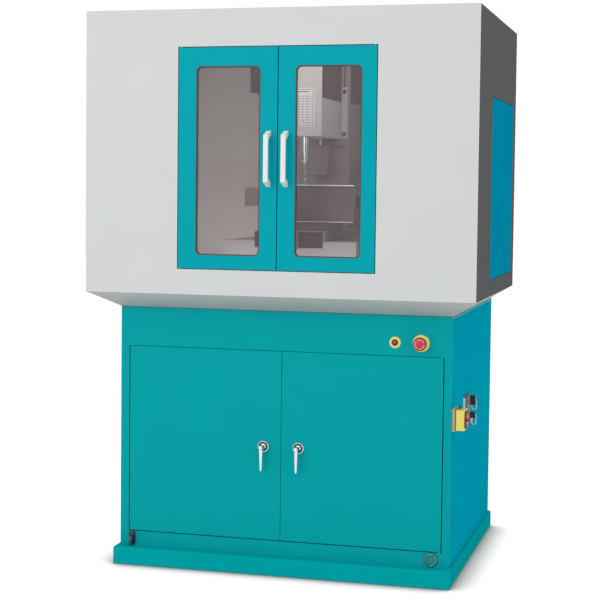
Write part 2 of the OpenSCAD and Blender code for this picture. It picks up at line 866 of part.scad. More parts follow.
// The column casting: cored from behind, with two ways in front and the Z screw's bearing bracket
module column() {
    color("#c4c8c9") {
        difference() {
            block(-column_w / 2, column_w / 2, column_y0, column_y1, bed_z1, column_z1);
            block(-column_w / 2 + column_wall, column_w / 2 - column_wall,
                  column_y0 + column_wall, column_y1 + 1, bed_z1 + column_wall, column_z1 - column_wall);
        }
        for (side = [-1, 1])
            block(side * way_x - (side < 0 ? way_w : 0), side * way_x + (side < 0 ? 0 : way_w),
                  column_y0 - way_t, column_y0, z_bracket_z1, column_z1);
        difference() {
            block(-motor_a / 2, motor_a / 2, z_screw_y - motor_a / 2, column_y0, z_bracket_z0, z_bracket_z1);
            bar_z(0, z_screw_y, z_bracket_z0 - 1, z_bracket_z1 + 1, screw_r + pin_clear);
        }
    }
}

// A square axis motor that grips a screw's end: the screw runs along X, Y or Z into its open face
module fixed_axis_motors() {
    half = motor_a / 2;
    color("#26282b") {
        difference() {
            block(-half, half, bed_y0 - motor_len, bed_y0, y_screw_z - half, y_screw_z + half);
            bar_y(0, bed_y0 - motor_grip - 1, bed_y0 + 1, y_screw_z, screw_r + pin_clear);
        }
        difference() {
            block(-half, half, z_screw_y - half, z_screw_y + half, z_bracket_z0 - motor_len, z_bracket_z0);
            bar_z(0, z_screw_y, z_bracket_z0 - motor_grip - 1, z_bracket_z0 + 1, screw_r + pin_clear);
        }
    }
}

module y_ball_screw() {
    color("#b9bcbe") bar_y(0, bed_y0 - motor_grip, y_screw_y1 - seat_clear, y_screw_z, screw_r);
}

module z_ball_screw() {
    color("#b9bcbe") bar_z(0, z_screw_y, z_bracket_z0 - motor_grip, z_screw_z1, screw_r);
}

module saddle() {
    nut_y0 = table_mid_y - nut_d / 2;
    nut_y1 = table_mid_y + nut_d / 2;
    color("#9aa0a3") difference() {
        union() {
            block(-saddle_w / 2, saddle_w / 2, table_y0 + saddle_inset, table_y1 - saddle_inset,
                  saddle_z0, saddle_z1);
            block(-nut_w / 2, nut_w / 2, nut_y0, nut_y1, y_screw_z - nut_w / 2, saddle_z0);
            block(-nut_w / 2, nut_w / 2, nut_y0, nut_y1, saddle_z1, x_screw_z + nut_w / 2 - 2);
        }
        bar_y(0, nut_y0 - 1, nut_y1 + 1, y_screw_z, screw_r + pin_clear);
        bar_x(-nut_w, nut_w, table_mid_y, x_screw_z, screw_r + pin_clear);
    }
}

module table() {
    slot_z = table_top - slot_throat_t;
    color("#c2c5c7") difference() {
        union() {
            block(table_x0, table_x1, table_y0, table_y1, table_top - plate_t, table_top);
            for (y = [table_y0, table_y1 - table_way_w])
                block(table_x0, table_x1, y, y + table_way_w, table_z0, table_top - plate_t);
            for (x = [table_x0, table_x1 - bracket_t])
                block(x, x + bracket_t, table_mid_y - bracket_w / 2, table_mid_y + bracket_w / 2,
                      table_z0, table_top - plate_t);
        }
        for (i = [-1, 0, 1]) {
            y = table_mid_y + i * slot_pitch;
            block(table_x0 - 1, table_x1 + 1, y - slot_w / 2, y + slot_w / 2, slot_z - 1, table_top + 1);
            block(table_x0 - 1, table_x1 + 1, y - slot_head_w / 2, y + slot_head_w / 2,
                  slot_z - slot_head_t, slot_z);
        }
        bar_x(table_x0 - 1, table_x1 + 1, table_mid_y, x_screw_z, screw_r + pin_clear);
    }
}

module table_apron() {
    color("#8d9396")
        block(table_x0, table_x1, table_y0 - sheet, table_y0, table_top - apron_drop, table_top - sheet);
}

module x_axis_motor() {
    half = motor_a / 2;
    color("#26282b") difference() {
        block(table_x0 - motor_len, table_x0, table_mid_y - half, table_mid_y + half,
              table_z0, table_z0 + motor_a);
        bar_x(table_x0 - motor_grip - 1, table_x0 + 1, table_mid_y, x_screw_z, screw_r + pin_clear);
    }
}

module x_ball_screw() {
    color("#b9bcbe") bar_x(table_x0 - motor_grip, table_x1 - 1, table_mid_y, x_screw_z, screw_r);
}

module spindle_head() {
    inset = cover_wall + slide_clear;
    color("#aeb3b5") difference() {
        union() {
            block(-head_w / 2 + inset, head_w / 2 - inset, head_y0 + inset, column_y0 - way_t - slide_clear,
                  head_z0, head_z0 + casting_h);
            block(-nut_d / 2, nut_d / 2, column_y0 - way_t - 1, column_y0 - slide_clear,
                  head_z0, head_z0 + casting_h);
        }
        bar_z(0, spindle_y, head_z0 - 1, head_z0 + casting_h + 1, spindle_shaft_r + pin_clear);
        bar_z(0, z_screw_y, head_z0 - 1, head_z0 + casting_h + 1, screw_r + pin_clear);
    }
}

// The head's sheet cover, open below and behind, and notched at its top for the Z screw
module head_cover() {
    y1 = column_y0 - way_t - slide_clear;
    notch = screw_r + 6;
    color("#d8dbdb") difference() {
        block(-head_w / 2, head_w / 2, head_y0, y1, head_z0, head_z1);
        block(-head_w / 2 + cover_wall, head_w / 2 - cover_wall, head_y0 + cover_wall, y1 + 1,
              head_z0 - 1, head_z1 - cover_wall);
        block(-notch, notch, z_screw_y - notch, y1 + 1, head_z1 - cover_wall - 1, head_z1 + 1);
    }
}

module spindle_motor() {
    color("#2f3236") block(-head_w / 2 - motor_box_w, -head_w / 2, spindle_y - motor_box_w / 2,
                           spindle_y + motor_box_w / 2, head_z1 - motor_box_w, head_z1);
}

module spindle() {
    nose_z1 = head_z0 - slide_clear;
    nose_z0 = collet_z0 + collet_len;
    pulley_z0 = head_z0 + casting_h + slide_clear;
    color("#c9cdd0") difference() {
        union() {
            bar_z(0, spindle_y, nose_z1, pulley_z0, spindle_shaft_r);
            bar_z(0, spindle_y, pulley_z0, pulley_z0 + pulley_h, pulley_r);
            bar_z(0, spindle_y, nose_z0, nose_z1, spindle_nose_r);
            bar_z(0, spindle_y, collet_z0, nose_z0, collet_r);
        }
        bar_z(0, spindle_y, collet_z0 - 1, nose_z0, mill_r + pin_clear);
    }
}

module end_mill() {
    color("#dfe2e4") bar_z(0, spindle_y, table_top + mill_clear, collet_z0 + collet_len, mill_r);
}

// Three drives fixed to the cabinet's back
module servo_drives() {
    color("#3b4046") for (i = [0:2])
        translate([drive_x + i * drive_pitch, base_y1 - sheet - drive_d, drive_z])
            cube([drive_w, drive_d, drive_h]);
}

module coolant_tank() {
    color("#b4babd") translate([tank_x, tank_y, plinth_h]) difference() {
        cube([tank_w, tank_d, tank_h]);
        translate([sheet, sheet, sheet]) cube([tank_w - 2 * sheet, tank_d - 2 * sheet, tank_h]);
    }
}

plinth();
base_front_frame();
base_left_side();
base_right_side();
base_back_panel();
base_deck();
base_hinge_pins();
chip_tray();
drain_fitting();
cable_port_ring();
enclosure_front();
enclosure_left_side();
enclosure_right_side();
enclosure_roof();
enclosure_back();
side_access_panel();
window_hinge_pins();
window_door_left();
window_glass_left();
window_gasket_left();
door_pull_left();
window_door_right();
window_glass_right();
window_gasket_right();
door_pull_right();
base_door_left();
handle_rosette_left();
handle_lever_left();
base_door_right();
handle_rosette_right();
handle_lever_right();
power_button_body();
power_button_cap();
estop_body();
estop_plunger();
estop_head();
isolator_backplate();
isolator_box();
isolator_knob();
connector_housing();
connector_cover();
connector_bail_upper();
connector_bail_lower();
machine_bed();
column();
fixed_axis_motors();
y_ball_screw();
z_ball_screw();
saddle();
x_axis_motor();
x_ball_screw();
table();
table_apron();
spindle_head();
head_cover();
spindle_motor();
spindle();
end_mill();
servo_drives();
coolant_tank();
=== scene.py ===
"""Enclosed CNC milling machine: its finishes, rounded sheet edges, trim, studio and camera."""

import json
import math

import bpy
from mathutils import Matrix, Vector


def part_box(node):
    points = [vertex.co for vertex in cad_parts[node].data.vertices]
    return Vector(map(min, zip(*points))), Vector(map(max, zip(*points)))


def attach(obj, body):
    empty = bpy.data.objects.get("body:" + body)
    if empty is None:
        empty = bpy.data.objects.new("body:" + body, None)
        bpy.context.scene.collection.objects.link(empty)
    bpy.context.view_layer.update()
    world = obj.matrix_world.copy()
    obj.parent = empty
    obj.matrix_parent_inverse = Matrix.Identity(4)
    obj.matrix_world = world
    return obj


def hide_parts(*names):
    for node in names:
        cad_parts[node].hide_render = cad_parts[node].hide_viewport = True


MM = 0.001
# Corners closer than this become one
WELD = 0.005 * MM

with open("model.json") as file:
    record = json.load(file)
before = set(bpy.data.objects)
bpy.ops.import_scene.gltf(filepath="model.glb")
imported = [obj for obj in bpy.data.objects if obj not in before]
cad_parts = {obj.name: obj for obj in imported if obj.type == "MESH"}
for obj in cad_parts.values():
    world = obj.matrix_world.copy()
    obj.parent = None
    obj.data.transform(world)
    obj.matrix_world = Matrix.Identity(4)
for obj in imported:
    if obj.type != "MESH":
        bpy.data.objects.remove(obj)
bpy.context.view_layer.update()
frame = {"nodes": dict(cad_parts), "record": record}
nodes = frame["nodes"]
body_of_node = {}
for body_name, members in frame["record"]["behaviour"]["bodies"].items():
    for member in members:
        body_of_node[member] = body_name
slot_of_node = {s["node"]: s["material_slot"] for s in frame["record"]["subparts"]}

# Directions that the machine's faces look in
FRONT = (0, -1, 0)
BACK = (0, 1, 0)
LEFT = (-1, 0, 0)
RIGHT = (1, 0, 0)
DOWN = (0, 0, -1)
UP = (0, 0, 1)


def low_corner(node_name):
    """The lowest X, Y and Z that a CAD node reaches, in mm."""
    return tuple(round(reach / MM, 1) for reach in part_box(node_name)[0])


def high_corner(node_name):
    """The highest X, Y and Z that a CAD node reaches, in mm."""
    return tuple(round(reach / MM, 1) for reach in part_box(node_name)[1])


def middle(node_name):
    """The centre of a CAD node's box, in mm."""
    corners = zip(low_corner(node_name), high_corner(node_name))
    return tuple(round((low + high) / 2, 2) for low, high in corners)


def shifted(point, x, y, z):
    """A point moved by x, y and z mm."""
    return (point[0] + x, point[1] + y, point[2] + z)


# ---------- Finishes ----------


def linear(hex_colour):
    """An sRGB hex colour as the linear colour that a shader socket takes."""
    channels = [int(hex_colour[i : i + 2], 16) / 255 for i in (1, 3, 5)]
    return tuple(c / 12.92 if c <= 0.04045 else ((c + 0.055) / 1.055) ** 2.4 for c in channels) + (1.0,)


def add(tree, kind, settings=None, links=None):
    """Adds one shader node, with its settings and with its inputs linked to other nodes' outputs."""
    node = tree.nodes.new(kind)
    for key, value in (settings or {}).items():
        if isinstance(key, int) or key in node.inputs:
            node.inputs[key].default_value = value
        else:
            setattr(node, key, value)
    for key, output in (links or {}).items():
        tree.links.new(output, node.inputs[key])
    return node


def start_finish(name):
    """A new material: returns it, its node tree, its Principled shader and the object coordinates."""
    material = bpy.data.materials.new(name)
    material.use_nodes = True
    tree = material.node_tree
    tree.nodes.clear()
    shader = add(tree, "ShaderNodeBsdfPrincipled")
    add(tree, "ShaderNodeOutputMaterial", links={"Surface": shader.outputs[0]})
    place = add(tree, "ShaderNodeTexCoord").outputs["Object"]
    return material, tree, shader, place


def set_shader(shader, **settings):
    """Sets a shader's inputs by their names, with _ for each space."""
    for key, value in settings.items():
        shader.inputs[key.replace("_", " ")].default_value = value


def mottle(tree, shader, place, dark, light, size_mm):
    """Colour that drifts between two near shades over patches of the given size."""
    noise = add(tree, "ShaderNodeTexNoise", {"Scale": 1 / (size_mm * MM), "Detail": 3.0}, {"Vector": place})
    mix = add(
        tree,
        "ShaderNodeMix",
        {"data_type": "RGBA", 6: linear(dark), 7: linear(light)},
        {"Factor": noise.outputs["Fac"]},
    )
    tree.links.new(mix.outputs[2], shader.inputs["Base Color"])
    return noise


def grain(tree, shader, place, size_mm, height_mm, stretch=(1, 1, 1)):
    """Bumps of the given size and height, longer along an axis where its stretch is under 1."""
    mapped = add(tree, "ShaderNodeMapping", {"Scale": stretch}, {"Vector": place})
    noise = add(
        tree,
        "ShaderNodeTexNoise",
        {"Scale": 1 / (size_mm * MM), "Detail": 2.0},
        {"Vector": mapped.outputs[0]},
    )
    bump = add(
        tree,
        "ShaderNodeBump",
        {"Strength": 1.0, "Distance": height_mm * MM},
        {"Height": noise.outputs["Fac"]},
    )
    tree.links.new(bump.outputs[0], shader.inputs["Normal"])
    return noise


def vary_roughness(tree, shader, noise, low, high):
    """Roughness that follows a noise between two values."""
    spread = add(
        tree,
        "ShaderNodeMapRange",
        {"To Min": low, "To Max": high},
        {"Value": noise.outputs["Fac"]},
    )
    tree.links.new(spread.outputs[0], shader.inputs["Roughness"])


def powder_coat(name, dark, light, roughness=0.48, gloss=0.04):
    """Polyester powder or enamel baked on metal: a semi-gloss skin with a faint orange peel.

    A gloss of 0 keeps the sheen off a face that is seen at a shallow angle.
    """
    material, tree, shader, place = start_finish(name)
    patches = mottle(tree, shader, place, dark, light, 160)
    # Real orange peel is 2 to 3 mm across; 6 mm is the finest that shows
    grain(tree, shader, place, 6, 0.02)
    vary_roughness(tree, shader, patches, roughness - 0.05, roughness + 0.05)
    set_shader(shader, IOR=1.5, Specular_IOR_Level=gloss)
    return material


def moulded(name, dark, light, roughness=0.35, coat=0.0):
    """Injection-moulded plastic: an even colour under a fine spark texture."""
    material, tree, shader, place = start_finish(name)
    patches = mottle(tree, shader, place, dark, light, 12)
    # Real spark texture is about 0.1 mm across; 0.8 mm is the finest that shows close up
    grain(tree, shader, place, 0.8, 0.01)
    vary_roughness(tree, shader, patches, roughness - 0.04, roughness + 0.04)
    set_shader(shader, IOR=1.53, Coat_Weight=coat, Coat_Roughness=0.08)
    return material


def worked_metal(name, dark, light, roughness, grain_mm, height_mm, stretch=(1, 1, 1)):
    """Bare or plated metal whose tool marks or polish run along one axis."""
    material, tree, shader, place = start_finish(name)
    mottle(tree, shader, place, dark, light, 30)
    marks = grain(tree, shader, place, grain_mm, height_mm, stretch)
    vary_roughness(tree, shader, marks, roughness * 0.75, roughness * 1.25)
    set_shader(shader, Metallic=1.0)
    return material


teal_coat = powder_coat("powder coat, teal", "#00a0a6", "#00a5ab")
# The plinth takes a lighter copy of the cabinet's teal: painted light that evens out the shade along its
# ledge
plinth_lit_teal_coat = powder_coat("powder coat, teal with painted light", "#00a4aa", "#00a8ae", gloss=0.0)
# The cabinet's right side takes a bluer copy of the teal: painted shade of that side
side_shaded_teal_coat = powder_coat("powder coat, teal in painted side shade", "#00a3bd", "#00a7c1", gloss=0.0)
upper_teal_coat = powder_coat("powder coat, light teal", "#00a1ae", "#00a5b2")
# The access panel is teal; this bluer, darker copy is painted shade on the enclosure's right side
panel_shaded_teal_coat = powder_coat("powder coat, teal in painted panel shade", "#008eb0", "#0092b4", gloss=0.0)
light_grey_coat = powder_coat("powder coat, light grey", "#d2d4d4", "#d8dada")
dark_grey_coat = powder_coat("powder coat, dark grey", "#616263", "#676869", gloss=0.0)
tray_grey_coat = powder_coat("powder coat, mid grey", "#ccc9c6", "#d3d0cd")
inside_grey_coat = powder_coat("powder coat, inside", "#b3b0ae", "#bbb8b6", 0.5)
apron_coat = powder_coat("machine enamel, brown grey", "#5c5655", "#645e5d", 0.36, 0.3)
white_coat = powder_coat("powder coat, white", "#e6e8e8", "#eceeee", 0.3)
cover_coat = powder_coat("powder coat, head cover", "#bfb9b7", "#c7c1bf", 0.38)
# Near-black coat for the dark sheets that stand in for shade inside the enclosure: painted shade
painted_shade_dark = powder_coat("powder coat, painted shade black", "#3a3637", "#433f40", 0.5)
motor_black = powder_coat("powder coat, black", "#1c1d1f", "#242528", 0.5)
motor_grey = powder_coat("stoved enamel, motor grey", "#8b8583", "#938d8b", 0.45)
casting_paint = powder_coat("machine enamel, warm grey", "#c3bfbe", "#cbc7c6", 0.45)
bed_paint = powder_coat("machine enamel, light grey", "#a5a1a0", "#ada9a8", 0.45)
# The saddle and the column take a darker copy of the casting enamel: painted shade under the apron and the
# enclosure's top
shaded_casting_paint = powder_coat("machine enamel, grey in painted shade", "#8f8988", "#989291", 0.45)
connector_grey = powder_coat("stoved enamel, die casting grey", "#686d70", "#73787b", 0.45)

chrome_plate = worked_metal("chrome plate", "#d0d4d6", "#dde0e2", 0.12, 3, 0.002)
zinc_plate = worked_metal("zinc plate", "#a9adaf", "#bcc0c2", 0.32, 2, 0.004)
slate_metal = worked_metal("blued steel", "#8497a0", "#91a4ad", 0.25, 2, 0.003)
ground_steel = worked_metal("ground steel", "#b3b7b9", "#c6cacc", 0.22, 1.5, 0.003, (0.05, 1, 1))
ground_iron = worked_metal("ground cast iron", "#a6abae", "#b9bec0", 0.3, 2, 0.005, (0.05, 1, 1))

black_plastic = moulded("moulded nylon, black", "#16181a", "#1e2022", 0.4)
slate_plastic = moulded("moulded nylon, slate", "#0f2630", "#172e38", 0.4)
yellow_plastic = moulded("moulded polycarbonate, yellow", "#e6d75c", "#eee06a", 0.35)
ring_yellow_plastic = moulded("moulded nylon, pale yellow", "#eadc72", "#f2e681", 0.3)
beige_plastic = moulded("moulded polycarbonate, beige", "#b3a888", "#bdb291", 0.45)
red_plastic = moulded("moulded nylon, red", "#ae2c29", "#b93330", 0.32, 0.3)
dark_rim_plastic = moulded("moulded nylon, dark maroon", "#5c160c", "#681b10", 0.5)
stop_rim_plastic = moulded("moulded nylon, deep red", "#7c1216", "#88161a", 0.5)
dark_red_plastic = moulded("moulded acrylic, dark red", "#8c1715", "#9c1e1a", 0.15, 0.6)
stop_red_plastic = moulded("moulded nylon, signal red", "#c4122a", "#ce1a33", 0.35, 0.1)
drive_grey_plastic = moulded("moulded ABS, dark grey", "#35393d", "#3d4146", 0.5)
# Dark teal rubber for the deck seal, whose dark line is also painted shade under the chip tray's edge
seal_teal_and_shade = moulded("EPDM rubber, dark teal and painted shade", "#0a4a50", "#0e5258", 0.6)
olive_rubber = moulded("EPDM rubber, olive", "#4f4c22", "#585528", 0.6)
gasket_rubber = moulded("EPDM rubber", "#4a4547", "#524d4f", 0.7)
# Thin wire, ink and a matt plate show as flat colours, so they take the same shader as plastic; the wire's
# pale cyan is a painted reflection on its plating
wire_painted_sheen = moulded("plated wire, painted sheen", "#cbe6ef", "#d7eff6", 0.3)
stop_mark_ink = moulded("printed ink, pale pink", "#dcb0b2", "#e5bcbd", 0.4)
chart_ink = moulded("printed ink, dark grey", "#4f4b4b", "#575353", 0.5)
chart_white = moulded("anodised plate, matt white", "#dddad8", "#e5e2e0", 0.5)


def smoked_pane():
    """Smoked polycarbonate: glossy, and tinted brown-grey with a slight haze that veils what is behind it."""
    material, tree, shader, place = start_finish("smoked polycarbonate")
    haze = mottle(tree, shader, place, "#8c7b7d", "#968587", 250)
    vary_roughness(tree, shader, haze, 0.03, 0.08)
    set_shader(shader, IOR=1.58, Specular_IOR_Level=0.3, Alpha=0.17)
    return material


smoked_glass = smoked_pane()

FINISH_OF_SLOT = {
    "teal_paint": teal_coat,
    "upper_door_teal": upper_teal_coat,
    "light_grey_paint": light_grey_coat,
    "dark_grey_paint": dark_grey_coat,
    "tray_grey_paint": tray_grey_coat,
    "zinc_steel": zinc_plate,
    "fitting_black": black_plastic,
    "port_ring_metal": chrome_plate,
    "smoked_glass": smoked_glass,
    "gasket_rubber": gasket_rubber,
    "pull_white": white_coat,
    "lever_chrome": chrome_plate,
    "button_yellow": yellow_plastic,
    "cap_dark_red": dark_red_plastic,
    "estop_red": stop_red_plastic,
    "isolator_beige": beige_plastic,
    "isolator_yellow": yellow_plastic,
    "isolator_red": red_plastic,
    "connector_grey": connector_grey,
    "bail_steel": chrome_plate,
    "casting_grey": casting_paint,
    "table_iron": ground_iron,
    "apron_steel": apron_coat,
    "motor_black": motor_black,
    "screw_steel": ground_steel,
    "head_iron": casting_paint,
    "head_cover_paint": cover_coat,
    "spindle_steel": ground_steel,
    "drive_case": drive_grey_plastic,
    "tank_zinc": zinc_plate,
}


def paint(piece, finish):
    """Gives a piece one finish all over."""
    piece.data.materials.clear()
    piece.data.materials.append(finish)


for node_name, node in nodes.items():
    paint(node, FINISH_OF_SLOT[slot_of_node[node_name]])
paint(nodes["side_access_panel"], panel_shaded_teal_coat)
paint(nodes["base_right_side"], side_shaded_teal_coat)
paint(nodes["plinth"], plinth_lit_teal_coat)
paint(nodes["drain_fitting"], slate_plastic)
paint(nodes["saddle"], shaded_casting_paint)
paint(nodes["machine_bed"], bed_paint)
paint(nodes["column"], shaded_casting_paint)
paint(nodes["fixed_axis_motors"], motor_grey)
paint(nodes["x_axis_motor"], motor_grey)


# ---------- Modelling ----------


def select_only(piece):
    """Makes one piece the only selected and the active one."""
    bpy.ops.object.select_all(action="DESELECT")
    piece.select_set(True)
    bpy.context.view_layer.objects.active = piece


def leave():
    """Ends the editing of a mesh."""
    bpy.ops.object.mode_set(mode="OBJECT")


def apply_modifier(piece, kind, **settings):
    """Adds a modifier with its settings and applies it to the mesh."""
    select_only(piece)
    modifier = piece.modifiers.new(kind.title(), kind)
    for key, value in settings.items():
        setattr(modifier, key, value)
    bpy.ops.object.modifier_apply(modifier=modifier.name)


def round_edges(piece, radius_mm, segments=2, angle=35):
    """Rounds every edge that is sharper than the angle, and smooths what is rounded."""
    apply_modifier(
        piece,
        "BEVEL",
        width=radius_mm * MM,
        segments=segments,
        limit_method="ANGLE",
        angle_limit=math.radians(angle),
        use_clamp_overlap=True,
    )
    select_only(piece)
    bpy.ops.object.shade_smooth_by_angle(angle=math.radians(angle))
    apply_modifier(piece, "WEIGHTED_NORMAL", mode="FACE_AREA", weight=100, keep_sharp=True)


def settle(piece, body, finish):
    """Gives a finished piece its body and its finish."""
    paint(piece, finish)
    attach(piece, body)
    return piece


def edged(node_name, radius_mm, segments=2):
    """A copy of a CAD node with its edges rounded, standing for the node."""
    source = nodes[node_name]
    piece = bpy.data.objects.new(node_name + "_edged", source.data.copy())
    bpy.context.scene.collection.objects.link(piece)
    select_only(piece)
    bpy.ops.object.mode_set(mode="EDIT")
    bpy.ops.mesh.select_all(action="SELECT")
    bpy.ops.mesh.remove_doubles(threshold=2 * WELD)
    bpy.ops.mesh.dissolve_limited(angle_limit=math.radians(1))
    leave()
    round_edges(piece, radius_mm, segments)
    settle(piece, body_of_node[node_name], source.data.materials[0])
    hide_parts(node_name)
    return piece


def block(name, low, high):
    """A cube between two corners in mm, ready to be shaped."""
    bpy.ops.object.select_all(action="DESELECT")
    centre = [(a + b) / 2 * MM for a, b in zip(low, high)]
    bpy.ops.mesh.primitive_cube_add(size=1, location=centre)
    piece = bpy.context.object
    piece.name = name
    piece.scale = [(b - a) * MM for a, b in zip(low, high)]
    bpy.ops.object.transform_apply(location=True, rotation=False, scale=True)
    return piece


def pick_faces(piece, chosen):
    """Opens a piece in edit mode with only the faces selected whose centre, in mm, and normal are chosen."""
    select_only(piece)
    bpy.ops.object.mode_set(mode="EDIT")
    bpy.ops.mesh.select_mode(type="FACE")
    bpy.ops.mesh.select_all(action="DESELECT")
    leave()
    for face in piece.data.polygons:
        face.select = bool(chosen(face.center / MM, face.normal))
    bpy.ops.object.mode_set(mode="EDIT")


def facing(direction):
    """A choice of the faces that look in one direction."""
    return lambda place, normal: normal.dot(Vector(direction)) > 0.9


def taper(piece, direction, scale, centre):
    """Scales the face that looks in one direction about a point in mm."""
    pick_faces(piece, facing(direction))
    bpy.ops.transform.resize(value=scale, center_override=Vector(centre) * MM)
    leave()


def sink_panel(piece, direction, margin, depth):
    """Sinks the face that looks in one direction by a depth in mm, inside a flat margin."""
    pick_faces(piece, facing(direction))
    bpy.ops.mesh.inset(thickness=margin * MM, depth=0)
    bpy.ops.mesh.inset(thickness=1 * MM, depth=-depth * MM)
    leave()


def turned(name, centre, axis, profile, sides=48, ring=False):
    """Turns a piece as on a lathe: a disc, or a ring for a piece with a bore, is drawn out through a profile.

    The profile is a list of (radius, distance along the axis) in mm.
    """
    direction = Vector(axis).normalized()
    foot = Vector(centre) * MM
    radius, reach = profile[0]
    bpy.ops.object.select_all(action="DESELECT")
    bpy.ops.mesh.primitive_circle_add(
        vertices=sides,
        radius=radius * MM,
        fill_type="NOTHING" if ring else "TRIFAN",
        location=foot + direction * reach * MM,
        rotation=direction.to_track_quat("Z", "Y").to_euler(),
    )
    piece = bpy.context.object
    piece.name = name
    bpy.ops.object.transform_apply(location=True, rotation=True, scale=True)
    bpy.ops.object.mode_set(mode="EDIT")
    bpy.ops.mesh.select_mode(type="VERT")
    bpy.ops.mesh.select_all(action="SELECT")
    for next_radius, next_reach in profile[1:]:
        step = direction * (next_reach - reach) * MM
        if ring:
            bpy.ops.mesh.extrude_edges_move(TRANSFORM_OT_translate={"value": step})
        else:
            bpy.ops.mesh.extrude_region_move(TRANSFORM_OT_translate={"value": step})
        share = next_radius / radius
        centre_here = foot + direction * next_reach * MM
        bpy.ops.transform.resize(value=(share, share, share), center_override=centre_here)
        radius, reach = next_radius, next_reach
    bpy.ops.mesh.select_all(action="SELECT")
    bpy.ops.mesh.remove_doubles(threshold=WELD)
    bpy.ops.mesh.normals_make_consistent(inside=False)
    leave()
    return piece


def smooth(piece, angle=35):
    """Smooths the shading over every edge that is flatter than the angle."""
    select_only(piece)
    bpy.ops.object.shade_smooth_by_angle(angle=math.radians(angle))


def tint(piece, finish, chosen):
    """Gives the chosen faces of a painted piece a second finish."""
    piece.data.materials.append(finish)
    index = len(piece.data.materials) - 1
    for face in piece.data.polygons:
        if chosen(face.center / MM, face.normal):
            face.material_index = index


def joined(pieces, name):
    """Makes one piece of several that are rigid together."""
    bpy.ops.object.select_all(action="DESELECT")
    for piece in pieces:
        piece.select_set(True)
    bpy.context.view_layer.objects.active = pieces[0]
    bpy.ops.object.join()
    pieces[0].name = name
    return pieces[0]


def copied(piece, name, shift):
    """A copy with its own mesh, moved by shift in mm."""
    twin = piece.copy()
    twin.data = piece.data.copy()
    twin.name = name
    bpy.context.scene.collection.objects.link(twin)
    twin.location = Vector(shift) * MM
    select_only(twin)
    bpy.ops.object.transform_apply(location=True, rotation=False, scale=False)
    return twin


def from_axis(point, centre, axis):
    """How far a point lies from an axis, and how far along it."""
    away = Vector(point) - Vector(centre)
    along = away.dot(Vector(axis))
    return (away - Vector(axis) * along).length, along


sheets = {}
for name, radius in (
    ("plinth", 4),
    ("base_front_frame", 0.6),
    ("base_left_side", 0.6),
    ("base_right_side", 0.6),
    ("base_back_panel", 1.2),
    ("base_deck", 1.5),
    ("base_door_left", 0.6),
    ("base_door_right", 0.6),
    ("chip_tray", 1.2),
    ("enclosure_front", 0.6),
    ("enclosure_left_side", 0.6),
    ("enclosure_right_side", 0.6),
    ("enclosure_roof", 1.2),
    ("enclosure_back", 1.2),
    ("side_access_panel", 1.2),
    ("window_door_left", 0.6),
    ("window_door_right", 0.6),
    ("door_pull_left", 2),
    ("isolator_knob", 1.2),
    ("drain_fitting", 0.8),
    ("door_pull_right", 2),
    ("isolator_backplate", 2),
    ("isolator_box", 2.5),
    ("connector_housing", 3),
    ("connector_cover", 4),
    ("head_cover", 1.2),
    ("spindle_motor", 4),
    ("x_axis_motor", 3),
    ("fixed_axis_motors", 3),
    ("machine_bed", 4),
    ("column", 4),
    ("saddle", 3),
    ("table", 0.8),
    ("spindle_head", 4),
    ("servo_drives", 3),
    ("coolant_tank", 1),
):
    sheets[name] = edged(name, radius)

# The enclosure is light inside, whatever its outside colour
for name, inward in (
    ("enclosure_back", FRONT),
    ("enclosure_left_side", RIGHT),
    ("enclosure_right_side", LEFT),
    ("enclosure_roof", DOWN),
    ("enclosure_front", BACK),
):
    tint(sheets[name], inside_grey_coat, facing(inward))


# ---------- Push buttons ----------

CABINET_FRONT = low_corner("base_front_frame")[1]
BUTTON_Z = middle("estop_body")[2]
ESTOP_X = middle("estop_body")[0]
POWER_X = middle("power_button_body")[0]
BUTTON_STEM_RADIUS = 11
TWIST_MARKS = 3


def estop_mushroom():
    """A mushroom head with a dark rim, a twist-grip groove and three pale twist marks."""
    centre = (ESTOP_X, high_corner("estop_head")[1], BUTTON_Z)
    profile = [
        (4.2, -9), (4.2, 0), (14.6, 0), (15, 0.4), (15, 5.6), (18.6, 6), (20, 7.2), (20, 9.6), (19.2, 11.2),
        (17.2, 12.6), (15.6, 13.2), (15.4, 12.8), (13, 13), (12.8, 13.9), (10, 14.5), (6, 14.9), (2, 15),
    ]
    head = turned("estop_mushroom", centre, FRONT, profile, 60)
    smooth(head, 40)
    settle(head, body_of_node["estop_head"], stop_red_plastic)

    def rim(place, normal):
        """Picks the head's outer edge."""
        radius, along = from_axis(place, centre, FRONT)
        return radius > 15.5 and along > 5.9

    def twist_mark(place, normal):
        """Picks three arcs round the dome, with a gap after each."""
        radius, along = from_axis(place, centre, FRONT)
        turn = math.degrees(math.atan2(place[2] - BUTTON_Z, place[0] - ESTOP_X)) % (360 / TWIST_MARKS)
        return 12.9 < radius < 15.5 and along > 12.5 and turn > 20

    tint(head, stop_rim_plastic, rim)
    tint(head, stop_mark_ink, twist_mark)
    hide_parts("estop_head")


def button_bezel(name, node_name, x, ring, thick, bore, bore_depth):
    """A button's body: a domed ring outside the sheet, and a bored stem behind it."""
    centre = (x, CABINET_FRONT, BUTTON_Z)
    profile = [
        (bore, -bore_depth), (bore, thick - 0.8), (bore + 0.8, thick), (ring - 6, thick),
        (ring - 3, thick - 0.6), (ring - 1.2, thick - 1.8), (ring - 0.3, thick - 3.2),
        (ring, thick - 4.4), (ring, 0), (BUTTON_STEM_RADIUS, 0), (BUTTON_STEM_RADIUS, -35),
    ]
    bezel = turned(name, centre, FRONT, profile, 60)
    smooth(bezel, 50)
    settle(bezel, body_of_node[node_name], ring_yellow_plastic)
    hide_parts(node_name)


